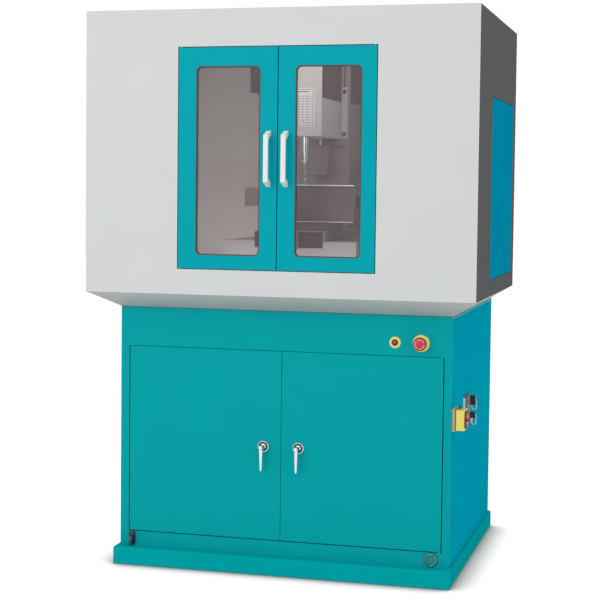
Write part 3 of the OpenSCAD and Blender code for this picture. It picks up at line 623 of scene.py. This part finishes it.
def power_lens():
    """A recessed red lens in a dark collar."""
    centre = (POWER_X, high_corner("power_button_cap")[1], BUTTON_Z)
    profile = [
        (9.3, 0), (9.5, 0.3), (9.5, 19.2), (8.9, 20), (6.6, 20), (6.2, 19.4), (5.9, 18.2), (5.4, 18.2),
        (5.1, 19.2), (3.8, 19.8), (1.5, 20.1),
    ]
    lens = turned("power_lens", centre, FRONT, profile)
    smooth(lens, 40)
    settle(lens, body_of_node["power_button_cap"], dark_red_plastic)

    def collar(place, normal):
        """Picks all but the middle of the lens."""
        return from_axis(place, centre, FRONT)[0] > 5.5

    tint(lens, dark_rim_plastic, collar)
    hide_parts("power_button_cap")


button_bezel("estop_bezel", "estop_body", ESTOP_X, ring=26, thick=7, bore=6.1, bore_depth=26)
button_bezel("power_bezel", "power_button_body", POWER_X, ring=18, thick=5, bore=9.6, bore_depth=16)
estop_mushroom()
power_lens()


# ---------- Screws ----------


def screw_head(name, place, axis, radius):
    """A button-head screw with a six-sided socket, standing on a surface."""
    profile = [
        (radius * 0.45, radius * 0.2), (radius * 0.45, radius * 0.66), (radius * 0.7, radius * 0.66),
        (radius * 0.9, radius * 0.5), (radius, radius * 0.25), (radius, 0),
    ]
    head = turned(name, place, axis, profile, 12)
    smooth(head, 40)
    return head


def screw_set(name, node_name, places, axis, radius, finish=None):
    """A set of equal screws in one CAD part."""
    first = screw_head(name, places[0], axis, radius)
    heads = [first]
    for n, place in enumerate(places[1:]):
        heads.append(copied(first, name + "_" + str(n), Vector(place) - Vector(places[0])))
    return settle(joined(heads, name), body_of_node[node_name], finish or zinc_plate)


# ---------- Cabinet door levers ----------

LEVER_X = middle("handle_rosette_right")[0]
LEVER_Z = middle("handle_rosette_right")[2]
LEVER_LOW = low_corner("handle_lever_right")
LEVER_HIGH = high_corner("handle_lever_right")
ROSETTE_BACK = high_corner("handle_rosette_right")[1]


def lever_handle():
    """A tapered lever with rounded ends on its neck and spindle, and the latch cam behind the door."""
    grip_radius = 7
    cam_half_width = 11
    cam_thick = 3
    grip = turned(
        "lever_right",
        (LEVER_X, LEVER_LOW[1] + grip_radius, LEVER_Z + 8),
        DOWN,
        [
            (2.2, 0), (4.8, 0.7), (6.4, 2.4), (7, 5), (6.8, 12), (6.1, 30), (5.1, 50), (4.3, 68),
            (4, 77), (3.5, 79.8), (2.2, 81.4), (0.8, 82),
        ],
    )
    neck = turned(
        "lever_neck",
        (LEVER_X, LEVER_LOW[1] - 1, LEVER_Z),
        BACK,
        [(3.5, 0), (5.4, 0.6), (6.3, 2), (6.5, 4), (6.5, 29.5), (6, 29.5), (6, 66)],
    )
    cam = block(
        "lever_cam",
        (LEVER_X - cam_half_width, LEVER_HIGH[1] - cam_thick, LEVER_Z - cam_half_width),
        (LEVER_X + cam_half_width, LEVER_HIGH[1], LEVER_HIGH[2]),
    )
    round_edges(cam, 0.8)
    smooth(grip, 50)
    smooth(neck, 50)
    return joined([grip, neck, cam], "lever_right")


def lever_rosette():
    """A dished rosette: a rolled rim, a dark recess and a raised hub round the spindle."""
    centre = (LEVER_X, ROSETTE_BACK, LEVER_Z)
    profile = [
        (6.2, 0), (9, 0), (9, 8), (17.6, 8), (18, 8.4), (18, 12), (17.2, 13.5), (16, 14), (14.8, 13.4),
        (14, 11), (13.4, 10.6), (10.2, 10.6), (9.6, 11), (9.2, 13.2), (8.6, 13.8), (6.2, 13.8), (6.2, 0),
    ]
    rosette = turned("rosette_right", centre, FRONT, profile, 56, ring=True)
    smooth(rosette, 40)
    return rosette


def rosette_recess(place, normal):
    """Picks the faces in the recess of either rosette."""
    centre = (math.copysign(LEVER_X, place[0]), ROSETTE_BACK, LEVER_Z)
    radius, along = from_axis(place, centre, FRONT)
    return 9.4 < radius < 14.1 and 10 < along < 12.5


right_lever = lever_handle()
left_lever = copied(right_lever, "lever_left", (-2 * LEVER_X, 0, 0))
right_rosette = lever_rosette()
left_rosette = copied(right_rosette, "rosette_left", (-2 * LEVER_X, 0, 0))
for lever, rosette, side in ((left_lever, left_rosette, "left"), (right_lever, right_rosette, "right")):
    settle(lever, body_of_node["handle_lever_" + side], chrome_plate)
    settle(rosette, body_of_node["handle_rosette_" + side], chrome_plate)
    tint(rosette, black_plastic, rosette_recess)
    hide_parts("handle_lever_" + side)
    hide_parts("handle_rosette_" + side)


# ---------- Fittings low on the cabinet ----------


def cable_port():
    """A pressed ring round the cable port: a dark flange and seal with a bright bead between them."""
    x, _, z = middle("cable_port_ring")
    centre = (x, CABINET_FRONT, z)
    profile = [
        (13.5, 0), (20.6, 0), (21, 0.6), (21, 2.4), (20, 3.2), (18.6, 3.4), (18.4, 4.2), (17.4, 5),
        (16.6, 5), (15.6, 4.2), (15.4, 3.2), (14, 3), (13.5, 2.4), (13.5, 0),
    ]
    port = turned("cable_port", centre, FRONT, profile, 56, ring=True)
    smooth(port, 40)
    settle(port, body_of_node["cable_port_ring"], slate_metal)

    def seal(place, normal):
        """Picks the flange and the bore, either side of the bead."""
        radius, along = from_axis(place, centre, FRONT)
        return radius > 18.5 or radius < 15.5

    tint(port, slate_plastic, seal)
    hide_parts("cable_port_ring")


DRAIN_X = middle("drain_fitting")[0]
DRAIN_Z = high_corner("plinth")[2] + 25


def drain_plug():
    """A coin-slotted plug in the middle of the drain fitting."""
    plug = turned(
        "drain_plug",
        (DRAIN_X, low_corner("drain_fitting")[1], DRAIN_Z),
        FRONT,
        [(5.2, 0), (5.6, 0.4), (5.6, 1.6), (5, 2.2), (3.6, 2.2), (3.4, 1.2), (1, 1.2)],
        32,
    )
    smooth(plug, 40)
    settle(plug, body_of_node["drain_fitting"], connector_grey)


cable_port()
drain_plug()
screw_set(
    "drain_screws",
    "drain_fitting",
    [(DRAIN_X, CABINET_FRONT - 4, DRAIN_Z + rise) for rise in (-16.5, 16.5)],
    FRONT,
    3,
    connector_grey,
)


# ---------- Isolator and connector on the right side ----------

CABINET_SIDE = high_corner("base_right_side")[0]
BOX_LOW = low_corner("isolator_box")
BOX_HIGH = high_corner("isolator_box")
BOX_MIDDLE = middle("isolator_box")
PLATE_FACE = high_corner("isolator_backplate")[0]
HOUSING_LOW = low_corner("connector_housing")
HOUSING_HIGH = high_corner("connector_housing")


def isolator_dial():
    """The dark dial plate behind the isolator's knob."""
    dial = turned(
        "isolator_dial",
        (BOX_HIGH[0], BOX_MIDDLE[1], BOX_MIDDLE[2]),
        RIGHT,
        [(15.6, 0), (27.4, 0), (28, 0.6), (28, 4), (26.8, 5), (17, 5), (15.6, 4), (15.6, 0)],
        56,
        ring=True,
    )
    smooth(dial, 40)
    settle(dial, body_of_node["isolator_box"], dark_rim_plastic)


def isolator_lock_tab():
    """The padlock tab on top of the isolator's box."""
    root = (CABINET_SIDE + 20.5, BOX_MIDDLE[1] + 0.5, BOX_HIGH[2] - 4)
    tab = block("isolator_lock_tab", shifted(root, -3.5, -4, 0), shifted(root, 3.5, 4, 16))
    taper(tab, UP, (0.7, 0.6, 1), shifted(root, 0, 0, 16))
    round_edges(tab, 1.5, 3)
    settle(tab, body_of_node["isolator_box"], black_plastic)


def connector_edge_highlight():
    """A white strip along the front edge of the connector's housing: a painted highlight on that edge."""
    top = (HOUSING_LOW[0], HOUSING_LOW[1], HOUSING_HIGH[2] - 4)
    strip = block("connector_painted_highlight", shifted(top, 0, -3, -41), shifted(top, 7, 0.2, 0))
    taper(strip, RIGHT, (1, 0.6, 0.96), shifted(top, 7, -0.5, -20.5))
    round_edges(strip, 0.8)
    # Its white is a painted highlight on the housing's edge
    settle(strip, body_of_node["connector_housing"], white_coat)


def wire_bail(name, node_name):
    """A latch bail of round wire: out of its pin, down, round a hook and a little way up."""
    wire_radius = 1.5
    bend_radius = 3
    hook_radius = 7
    pin_length = 4.4
    tail_length = 3.5
    bend_step = 15
    arm_x = high_corner(node_name)[0] - wire_radius
    y = middle(node_name)[1]
    pin_z = high_corner(node_name)[2] - wire_radius
    hook_z = low_corner(node_name)[2] + wire_radius + hook_radius
    bpy.ops.object.select_all(action="DESELECT")
    bpy.ops.mesh.primitive_circle_add(
        vertices=12,
        radius=wire_radius * MM,
        fill_type="TRIFAN",
        location=Vector((arm_x - bend_radius - pin_length, y, pin_z)) * MM,
        rotation=(0, math.pi / 2, 0),
    )
    bail = bpy.context.object
    bail.name = name
    bpy.ops.object.transform_apply(location=True, rotation=True, scale=True)
    bpy.ops.object.mode_set(mode="EDIT")
    bpy.ops.mesh.select_mode(type="FACE")
    bpy.ops.mesh.select_all(action="SELECT")
    for move, turn, pivot in (
        ((pin_length, 0, 0), 90, (arm_x - bend_radius, y, pin_z - bend_radius)),
        ((0, 0, hook_z + bend_radius - pin_z), 180, (arm_x - hook_radius, y, hook_z)),
        ((0, 0, tail_length), 0, None),
    ):
        bpy.ops.mesh.extrude_region_move(TRANSFORM_OT_translate={"value": Vector(move) * MM})
        if turn:
            bpy.ops.mesh.spin(
                steps=turn // bend_step,
                angle=math.radians(-turn),
                center=Vector(pivot) * MM,
                axis=BACK,
            )
    bpy.ops.mesh.select_all(action="SELECT")
    bpy.ops.mesh.remove_doubles(threshold=WELD)
    bpy.ops.mesh.normals_make_consistent(inside=False)
    leave()
    smooth(bail, 50)
    # Its pale cyan colour is a painted reflection of the plating
    settle(bail, body_of_node[node_name], wire_painted_sheen)
    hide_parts(node_name)


def isolator_gasket():
    """The dark seal between the isolator's plate and its box."""
    proud = 1.1
    seal = block(
        "isolator_gasket",
        (PLATE_FACE - 0.5, BOX_LOW[1] - proud, BOX_LOW[2] - proud),
        (PLATE_FACE + 3, BOX_HIGH[1] + proud, BOX_HIGH[2] + proud),
    )
    pick_faces(seal, facing(RIGHT))
    bpy.ops.mesh.inset(thickness=0.8 * MM, depth=0)
    leave()
    round_edges(seal, 0.6)
    settle(seal, body_of_node["isolator_box"], olive_rubber)


def latch_block(place, normal):
    """Picks the faces of the two latch blocks at the back of the connector's housing."""
    return place[0] > HOUSING_LOW[0] + 6.1 or place[1] > HOUSING_HIGH[1] - 13.5


tint(sheets["connector_housing"], black_plastic, latch_block)
isolator_dial()
isolator_gasket()
isolator_lock_tab()
connector_edge_highlight()
wire_bail("bail_upper", "connector_bail_upper")
wire_bail("bail_lower", "connector_bail_lower")
screw_set(
    "isolator_plate_screws",
    "isolator_backplate",
    [(PLATE_FACE, BOX_LOW[1] + 2, BOX_LOW[2] + 8)],
    RIGHT,
    2.6,
    finish=black_plastic,
)


# ---------- Inside the enclosure ----------

COVER_LOW = low_corner("head_cover")
COVER_HIGH = high_corner("head_cover")


def chart_plate():
    """A blank ruled table on the head's cover: a white plate, a printed frame and rows of fine rules."""
    face = COVER_LOW[1]
    foot = COVER_LOW[2] + 31
    row_pitch = 8.4
    column_pitch = 15

    def line(name, left, low, right, high):
        """A printed line between two corners, across and above the plate's foot."""
        return block(name, (left, face - 1.5, foot + low), (right, face - 1.1, foot + high))

    plate = block("chart_plate", (-39, face - 1.2, foot), (39, face, foot + 123))
    round_edges(plate, 0.4, 1)
    lines = [
        line("chart_frame_top", -35, 117.4, 35, 119),
        line("chart_frame_foot", -35, 4, 35, 5.6),
        line("chart_frame_left", -35, 4, -33.6, 119),
        line("chart_frame_right", 33.6, 4, 35, 119),
        line("chart_heading", -20, 109, 20, 112),
    ]
    row = line("chart_row", -31, 12, 31, 13.2)
    lines += [row] + [copied(row, "chart_row_" + str(n), (0, 0, row_pitch * n)) for n in range(1, 11)]
    rule = line("chart_rule", -14, 10, -13, 101)
    lines += [rule] + [copied(rule, "chart_rule_" + str(n), (column_pitch * n, 0, 0)) for n in (1, 2)]
    ruled = joined(lines, "chart_lines")
    taper(ruled, FRONT, (0.995, 1, 0.998), (0, face - 1.5, foot + 61))
    for piece, finish in ((plate, chart_white), (ruled, chart_ink)):
        settle(piece, body_of_node["head_cover"], finish)


def head_shade_panel():
    """A louvred dark panel on the right side of the head's cover, above its seam: painted shade where the
    enclosure's top shades the head.
    """
    side = COVER_HIGH[0]
    sill = COVER_HIGH[2] - 127
    edge = 3.5
    blade_edge = 13.5
    panel = block(
        "head_shade_panel",
        (side, COVER_LOW[1] + edge, sill),
        (side + 1.2, COVER_HIGH[1] - edge, sill + 125),
    )
    sink_panel(panel, RIGHT, 6, 0.6)
    round_edges(panel, 0.3, 1)
    blade = block(
        "head_louvre",
        (side + 0.4, COVER_LOW[1] + blade_edge, sill + 11),
        (side + 2.2, COVER_HIGH[1] - blade_edge, sill + 16),
    )
    pick_faces(blade, facing(RIGHT))
    bpy.ops.transform.translate(value=(0, 0, -2.2 * MM))
    leave()
    blade_pitch = 12
    blades = [blade]
    blades += [copied(blade, "head_louvre_" + str(n), (0, 0, blade_pitch * n)) for n in range(1, 9)]
    shade_panel = joined([panel] + blades, "head_shade_panel")
    # The panel's dark coat is painted shade on the head's upper side
    settle(shade_panel, body_of_node["head_cover"], painted_shade_dark)


def gib_plate():
    """The clamp plate beside the head's slide, with its two screws and a lubrication line."""
    left = COVER_HIGH[0] + 1.5
    screw_x = left + 11.5
    front = COVER_HIGH[1] - 6
    foot = COVER_LOW[2] + 1
    top = foot + 173
    plate = block("gib_plate", (left, front, foot), (left + 23.5, front + 5.5, top))
    taper(plate, UP, (0.8, 1, 1), (screw_x, front + 2.5, top))
    round_edges(plate, 1.2)
    settle(plate, body_of_node["head_cover"], cover_coat)
    screws = [(screw_x, front, foot + 15), (screw_x, front, top - 16)]
    screw_set("gib_screws", "head_cover", screws, FRONT, 7, finish=black_plastic)
    pipe = turned(
        "lubrication_line",
        (screw_x, front + 3, top - 1),
        UP,
        [(3.2, 0), (3.4, 1), (3.4, 9), (2.4, 10), (1.6, 11), (1.6, 76)],
        12,
    )
    smooth(pipe, 50)
    settle(pipe, body_of_node["head_cover"], black_plastic)


def column_painted_shade():
    """A dark sheet over the top of the column: painted shade cast by the enclosure's top."""
    column_low = low_corner("column")
    column_high = high_corner("column")
    shade_sheet = block(
        "column_painted_shade",
        (column_low[0] - 2, column_low[1] + 73, column_high[2] - 168),
        shifted(column_high, 2, 3, 3),
    )
    sink_panel(shade_sheet, FRONT, 3, 2)
    round_edges(shade_sheet, 1.5)
    # The sheet's dark coat is painted shade over the column's top
    settle(shade_sheet, body_of_node["column"], painted_shade_dark)


def bed_painted_shade():
    """Dark plates on the bed's raised guide, either side of the Y motor: painted shade where the table's
    apron shadows the bed.
    """
    guide_front = low_corner("machine_bed")[1]
    guide_top = high_corner("machine_bed")[2]
    left = block(
        "bed_shade_plate_left",
        (-109, guide_front - 3, guide_top - 51),
        (-32, guide_front, guide_top - 2),
    )
    sink_panel(left, FRONT, 4, 1)
    round_edges(left, 0.6)
    right = copied(left, "bed_shade_plate_right", (141, 0, 0))
    # Their dark coat is painted shade under the table's apron
    for plate in (left, right):
        settle(plate, body_of_node["machine_bed"], painted_shade_dark)


def apron_strips():
    """Bright edge strips along the top and the bottom of the table's apron."""
    apron_low = low_corner("table_apron")
    apron_high = high_corner("table_apron")
    front = apron_low[1] - 2.5
    low = block(
        "apron_strip_low",
        (apron_low[0], front, apron_low[2] - 1.5),
        (apron_high[0], apron_low[1], apron_low[2] + 2),
    )
    taper(low, FRONT, (0.995, 1, 0.6), (middle("table_apron")[0], front, apron_low[2]))
    round_edges(low, 0.4, 1)
    high = copied(low, "apron_strip_high", (0, 0, apron_high[2] - apron_low[2]))
    for strip in (low, high):
        settle(strip, body_of_node["table_apron"], ground_steel)


def corner_trunking():
    """A light cable trunking up the enclosure's back left corner."""
    back_low = low_corner("enclosure_back")
    back_high = high_corner("enclosure_back")
    left = back_low[0] + 3.5
    front = back_low[1] - 44.5
    trunk = block(
        "corner_trunking",
        (left, front, back_low[2] + 57),
        (left + 66.5, back_low[1] - 0.5, back_high[2] - 8),
    )
    taper(trunk, FRONT, (0.9, 1, 1), (left, front, 0))
    round_edges(trunk, 2)
    settle(trunk, body_of_node["enclosure_back"], light_grey_coat)


def deck_seal_and_shadow_line():
    """The dark seal between the chip tray and the cabinet's deck, standing a little proud of both; its dark
    line is also painted shade under the tray's edge.
    """
    deck_low = low_corner("base_deck")
    deck_high = high_corner("base_deck")
    tray_back = high_corner("chip_tray")[1]
    seal = block(
        "deck_seal_and_shadow_line",
        (deck_low[0] - 0.9, deck_low[1] - 3.9, deck_high[2] - 1.4),
        (deck_high[0] + 0.9, tray_back + 3.9, deck_high[2] + 1.6),
    )
    pick_faces(seal, lambda place, normal: abs(normal[2]) > 0.9)
    bpy.ops.mesh.inset(thickness=14 * MM, depth=0)
    bpy.ops.mesh.bridge_edge_loops()
    bpy.ops.mesh.select_all(action="SELECT")
    bpy.ops.mesh.normals_make_consistent(inside=False)
    leave()
    round_edges(seal, 0.4, 1)
    settle(seal, body_of_node["chip_tray"], seal_teal_and_shade)


chart_plate()
deck_seal_and_shadow_line()
head_shade_panel()
gib_plate()
column_painted_shade()
bed_painted_shade()
apron_strips()
corner_trunking()


# ---------- Spindle and tool ----------

SPINDLE_Y = middle("spindle")[1]
NOSE_Z = low_corner("spindle")[2]
NUT_RADIUS = 13


def stepped_spindle():
    """The spindle: a grooved nose, a collet nut with wrench flats, a shaft and a flanged belt pulley."""
    spindle = turned(
        "spindle_turned",
        (0, SPINDLE_Y, NOSE_Z),
        UP,
        [
            (5.2, 30), (5.2, 0.6), (5.6, 0), (10, 0), (12.6, 2), (13, 3), (13, 15), (11.6, 16), (11.6, 18),
            (13, 19), (13, 33), (12.2, 34), (14.4, 34), (14.4, 40), (17, 41), (17, 53), (15.6, 54),
            (15.6, 57), (17, 58), (17, 85), (16.4, 86), (12, 86), (12, 277), (29, 277), (30, 278),
            (30, 279), (26, 281), (26, 297), (30, 299), (30, 300), (29, 301), (14, 301), (13, 299), (9, 299),
        ],
        56,
    )
    smooth(spindle, 30)
    settle(spindle, body_of_node["spindle"], chrome_plate)
    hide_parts("spindle")
    flats = []
    for name, y in (
        ("nut_flat", SPINDLE_Y - NUT_RADIUS - 0.4),
        ("nut_flat_back", SPINDLE_Y + NUT_RADIUS - 0.8),
    ):
        flats.append(block(name, (-4, y, NOSE_Z + 4.5), (4, y + 1.2, NOSE_Z + 12.5)))
    pair = joined(flats, "nut_flats")
    round_edges(pair, 0.4, 1)
    settle(pair, body_of_node["spindle"], ground_steel)


def fluted_end_mill():
    """An end mill: a plain shank, and two helical flutes below it."""
    tip_z = low_corner("end_mill")[2]
    flute_steps = 14
    flute_step = 3
    shank_length = 55
    top_z = tip_z + flute_steps * flute_step + shank_length
    bpy.ops.object.select_all(action="DESELECT")
    bpy.ops.mesh.primitive_circle_add(
        vertices=16, radius=5 * MM, fill_type="TRIFAN", location=(0, SPINDLE_Y * MM, top_z * MM)
    )
    mill = bpy.context.object
    mill.name = "end_mill_fluted"
    bpy.ops.object.transform_apply(location=True, rotation=True, scale=True)
    bpy.ops.object.mode_set(mode="EDIT")
    bpy.ops.mesh.select_mode(type="VERT")
    bpy.ops.mesh.select_all(action="SELECT")
    bpy.ops.mesh.extrude_region_move(TRANSFORM_OT_translate={"value": (0, 0, -shank_length * MM)})
    pivot = Vector((0, SPINDLE_Y, tip_z)) * MM
    for n in range(flute_steps):
        bpy.ops.mesh.extrude_region_move(TRANSFORM_OT_translate={"value": (0, 0, -flute_step * MM)})
        if n == 0:
            bpy.ops.transform.resize(value=(1, 0.62, 1), center_override=pivot)
        bpy.ops.transform.rotate(value=math.radians(22), orient_axis="Z", center_override=pivot)
    bpy.ops.mesh.select_all(action="SELECT")
    bpy.ops.mesh.normals_make_consistent(inside=False)
    leave()
    smooth(mill, 30)
    settle(mill, body_of_node["end_mill"], ground_steel)
    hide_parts("end_mill")


stepped_spindle()
fluted_end_mill()


# ---------- Backs and drives ----------


def ring_of_screws(name, node_name, xs, zs):
    """Screws round a back panel: at each of xs along its top and bottom, and of zs up its sides."""
    y = high_corner(node_name)[1]
    places = [(x, y, z) for x in xs for z in (zs[0], zs[-1])]
    places += [(x, y, z) for x in (xs[0], xs[-1]) for z in zs[1:-1]]
    screw_set(name, node_name, places, BACK, 4)


def drive_covers():
    """Finned covers with a terminal strip on the three servo drives."""
    corner = low_corner("servo_drives")
    plate = block("drive_cover", shifted(corner, 6, -3, 8), shifted(corner, 54, 0, 192))
    sink_panel(plate, FRONT, 3, 1.2)
    round_edges(plate, 0.5, 1)
    strip = block("drive_terminals", shifted(corner, 12, -9.5, 18), shifted(corner, 48, -2, 30))
    sink_panel(strip, FRONT, 1.5, 2)
    fin = block("drive_fin", shifted(corner, 14, -4.5, 158), shifted(corner, 46, -1.5, 161))
    taper(fin, FRONT, (0.96, 1, 0.6), shifted(corner, 30, -4.5, 159.5))
    fin_pitch = 8
    fins = [fin] + [copied(fin, "drive_fin_" + str(n), (0, 0, -fin_pitch * n)) for n in range(1, 9)]
    cover = joined([plate, strip] + fins, "drive_cover_1")
    drive_pitch = 76
    covers = [cover]
    covers += [copied(cover, "drive_cover_" + str(n + 1), (drive_pitch * n, 0, 0)) for n in (1, 2)]
    for piece in covers:
        settle(piece, body_of_node["servo_drives"], black_plastic)


def back_louvres():
    """Pressed louvres in the cabinet's back panel, in two banks."""
    face = high_corner("base_back_panel")[1]
    low_z = 700
    proud = 5
    slat = block("louvre", (-340, face, low_z), (-220, face + 0.5, low_z + 16))
    pick_faces(slat, facing(BACK))
    bpy.ops.mesh.extrude_region_move(TRANSFORM_OT_translate={"value": Vector((0, proud, -3)) * MM})
    pivot = Vector((-280, face + 0.5 + proud, low_z)) * MM
    bpy.ops.transform.resize(value=(0.93, 1, 0.3), center_override=pivot)
    leave()
    round_edges(slat, 0.8)
    louvre_pitch = 26
    bank_pitch = 560
    bank = [slat] + [copied(slat, "louvre_" + str(n), (0, 0, -louvre_pitch * n)) for n in range(1, 8)]
    left = joined(bank, "back_louvres_left")
    right = copied(left, "back_louvres_right", (bank_pitch, 0, 0))
    for louvres in (left, right):
        settle(louvres, body_of_node["base_back_panel"], teal_coat)


drive_covers()
back_louvres()
ring_of_screws("base_back_screws", "base_back_panel", (-490, -165, 165, 490), (90, 330, 560, 790))
ring_of_screws(
    "enclosure_back_screws",
    "enclosure_back",
    (-580, -290, 0, 290, 580),
    (900, 1160, 1430, 1700),
)


# ---------- Studio ----------


def camera_rays(tree):
    """1 for what the camera sees straight, in a reflection or through glass."""
    path = add(tree, "ShaderNodeLightPath")
    straight = path.outputs["Is Camera Ray"]
    both = add(
        tree,
        "ShaderNodeMath",
        {"operation": "MAXIMUM"},
        {0: straight, 1: path.outputs["Is Glossy Ray"]},
    )
    return add(
        tree,
        "ShaderNodeMath",
        {"operation": "MAXIMUM"},
        {0: both.outputs[0], 1: path.outputs["Is Transmission Ray"]},
    ).outputs[0]


def studio_floor():
    """A pale floor that reads as white to the camera and keeps the machine's shadow, with a painted contact
    shadow from ambient occlusion round its foot.
    """
    bpy.ops.mesh.primitive_plane_add(size=40, location=(0, 0, 0))
    floor = bpy.context.object
    floor.name = "studio_floor"
    material = bpy.data.materials.new("studio floor")
    material.use_nodes = True
    tree = material.node_tree
    tree.nodes.clear()
    # Ambient occlusion dims the floor's glow close to the machine: a painted contact shadow
    contact_occlusion = add(tree, "ShaderNodeAmbientOcclusion", {"samples": 8, "Distance": 0.12})
    painted_contact_shadow = add(
        tree,
        "ShaderNodeMapRange",
        {"From Min": 0.5, "From Max": 0.95, "To Min": 0.12, "To Max": 0.97},
        {"Value": contact_occlusion.outputs["AO"]},
    )
    glow = add(
        tree,
        "ShaderNodeMath",
        {"operation": "MULTIPLY"},
        {0: camera_rays(tree), 1: painted_contact_shadow.outputs[0]},
    )
    seen = add(tree, "ShaderNodeMapRange", {"To Min": 0.8, "To Max": 0.22}, {"Value": camera_rays(tree)})
    shade = add(tree, "ShaderNodeCombineColor", links={n: seen.outputs[0] for n in (0, 1, 2)})
    matt = add(tree, "ShaderNodeBsdfDiffuse", links={"Color": shade.outputs[0]})
    lift = add(tree, "ShaderNodeEmission", links={"Strength": glow.outputs[0]})
    both = add(tree, "ShaderNodeAddShader", links={0: matt.outputs[0], 1: lift.outputs[0]})
    add(tree, "ShaderNodeOutputMaterial", links={"Surface": both.outputs[0]})
    floor.data.materials.append(material)


def studio_world():
    """White to the camera, and a softer grey as the light that fills the shadows."""
    world = bpy.data.worlds.new("studio")
    bpy.context.scene.world = world
    world.use_nodes = True
    tree = world.node_tree
    tree.nodes.clear()
    strength = add(
        tree,
        "ShaderNodeMapRange",
        {"To Min": 0.8, "To Max": 1.0},
        {"Value": camera_rays(tree)},
    )
    sky = add(
        tree,
        "ShaderNodeBackground",
        {"Color": (1, 1, 1, 1)},
        {"Strength": strength.outputs[0]},
    )
    add(tree, "ShaderNodeOutputWorld", links={"Surface": sky.outputs[0]})


def soft_lamp(name, place, aim, width, height, power):
    """A rectangular soft box at a place, facing a point."""
    lamp = bpy.data.lights.new(name, "AREA")
    lamp.shape = "RECTANGLE"
    lamp.size = width
    lamp.size_y = height
    lamp.energy = power
    holder = bpy.data.objects.new(name, lamp)
    bpy.context.scene.collection.objects.link(holder)
    holder.location = place
    holder.rotation_euler = (Vector(aim) - Vector(place)).to_track_quat("-Z", "Y").to_euler()
    return holder


studio_floor()
studio_world()
soft_lamp("key_softbox", (-1.6, -5.2, 2.8), (0, 0, 1.0), 3.0, 3.0, 70)
soft_lamp("side_softbox", (5.0, -1.5, 2.6), (0, 0, 0.9), 2.5, 2.5, 13)
for lamp_name, place, aim, width, height, power in (
    ("chamber_softbox", (0.08, -0.16, 1.71), (0.08, -0.16, 1.0), 1.0, 0.5, 1.7),
    ("chamber_front_strip", (0.08, -0.42, 1.66), (0.08, 0.1, 1.0), 1.0, 0.08, 1.35),
    ("chamber_low_strip", (0.0, -0.41, 0.905), (0, 0.4, 1.15), 1.1, 0.05, 0.95),
    ("chamber_left_glow", (-0.36, -0.10, 0.93), (-0.36, 0.45, 1.02), 0.3, 0.2, 0.95),
):
    soft_lamp(lamp_name, place, aim, width, height, power).visible_camera = False


# ---------- Camera ----------


def product_camera():
    """A long lens at eye height, turned a little to the machine's right side."""
    yaw = math.radians(14.99)
    pitch = math.radians(-3.0)
    roll = math.radians(0.64)
    across = Vector((math.cos(yaw), math.sin(yaw), 0))
    ahead = Vector((-math.sin(yaw), math.cos(yaw), 0))
    up = Vector(UP)
    forward = ahead * math.cos(pitch) + up * math.sin(pitch)
    raised = up * math.cos(pitch) - ahead * math.sin(pitch)
    right = across * math.cos(roll) + raised * math.sin(roll)
    top = raised * math.cos(roll) - across * math.sin(roll)
    lens = bpy.data.cameras.new("product_camera")
    lens.lens = 89.48
    lens.sensor_width = 36
    lens.shift_y = -0.0555
    lens.clip_end = 100
    camera = bpy.data.objects.new("product_camera", lens)
    bpy.context.scene.collection.objects.link(camera)
    turn = Matrix((right, top, -forward)).transposed()
    camera.matrix_world = Matrix.Translation((1.2319, -4.762, 1.1916)) @ turn.to_4x4()
    bpy.context.scene.camera = camera


product_camera()
bpy.context.scene.view_settings.view_transform = "Standard"
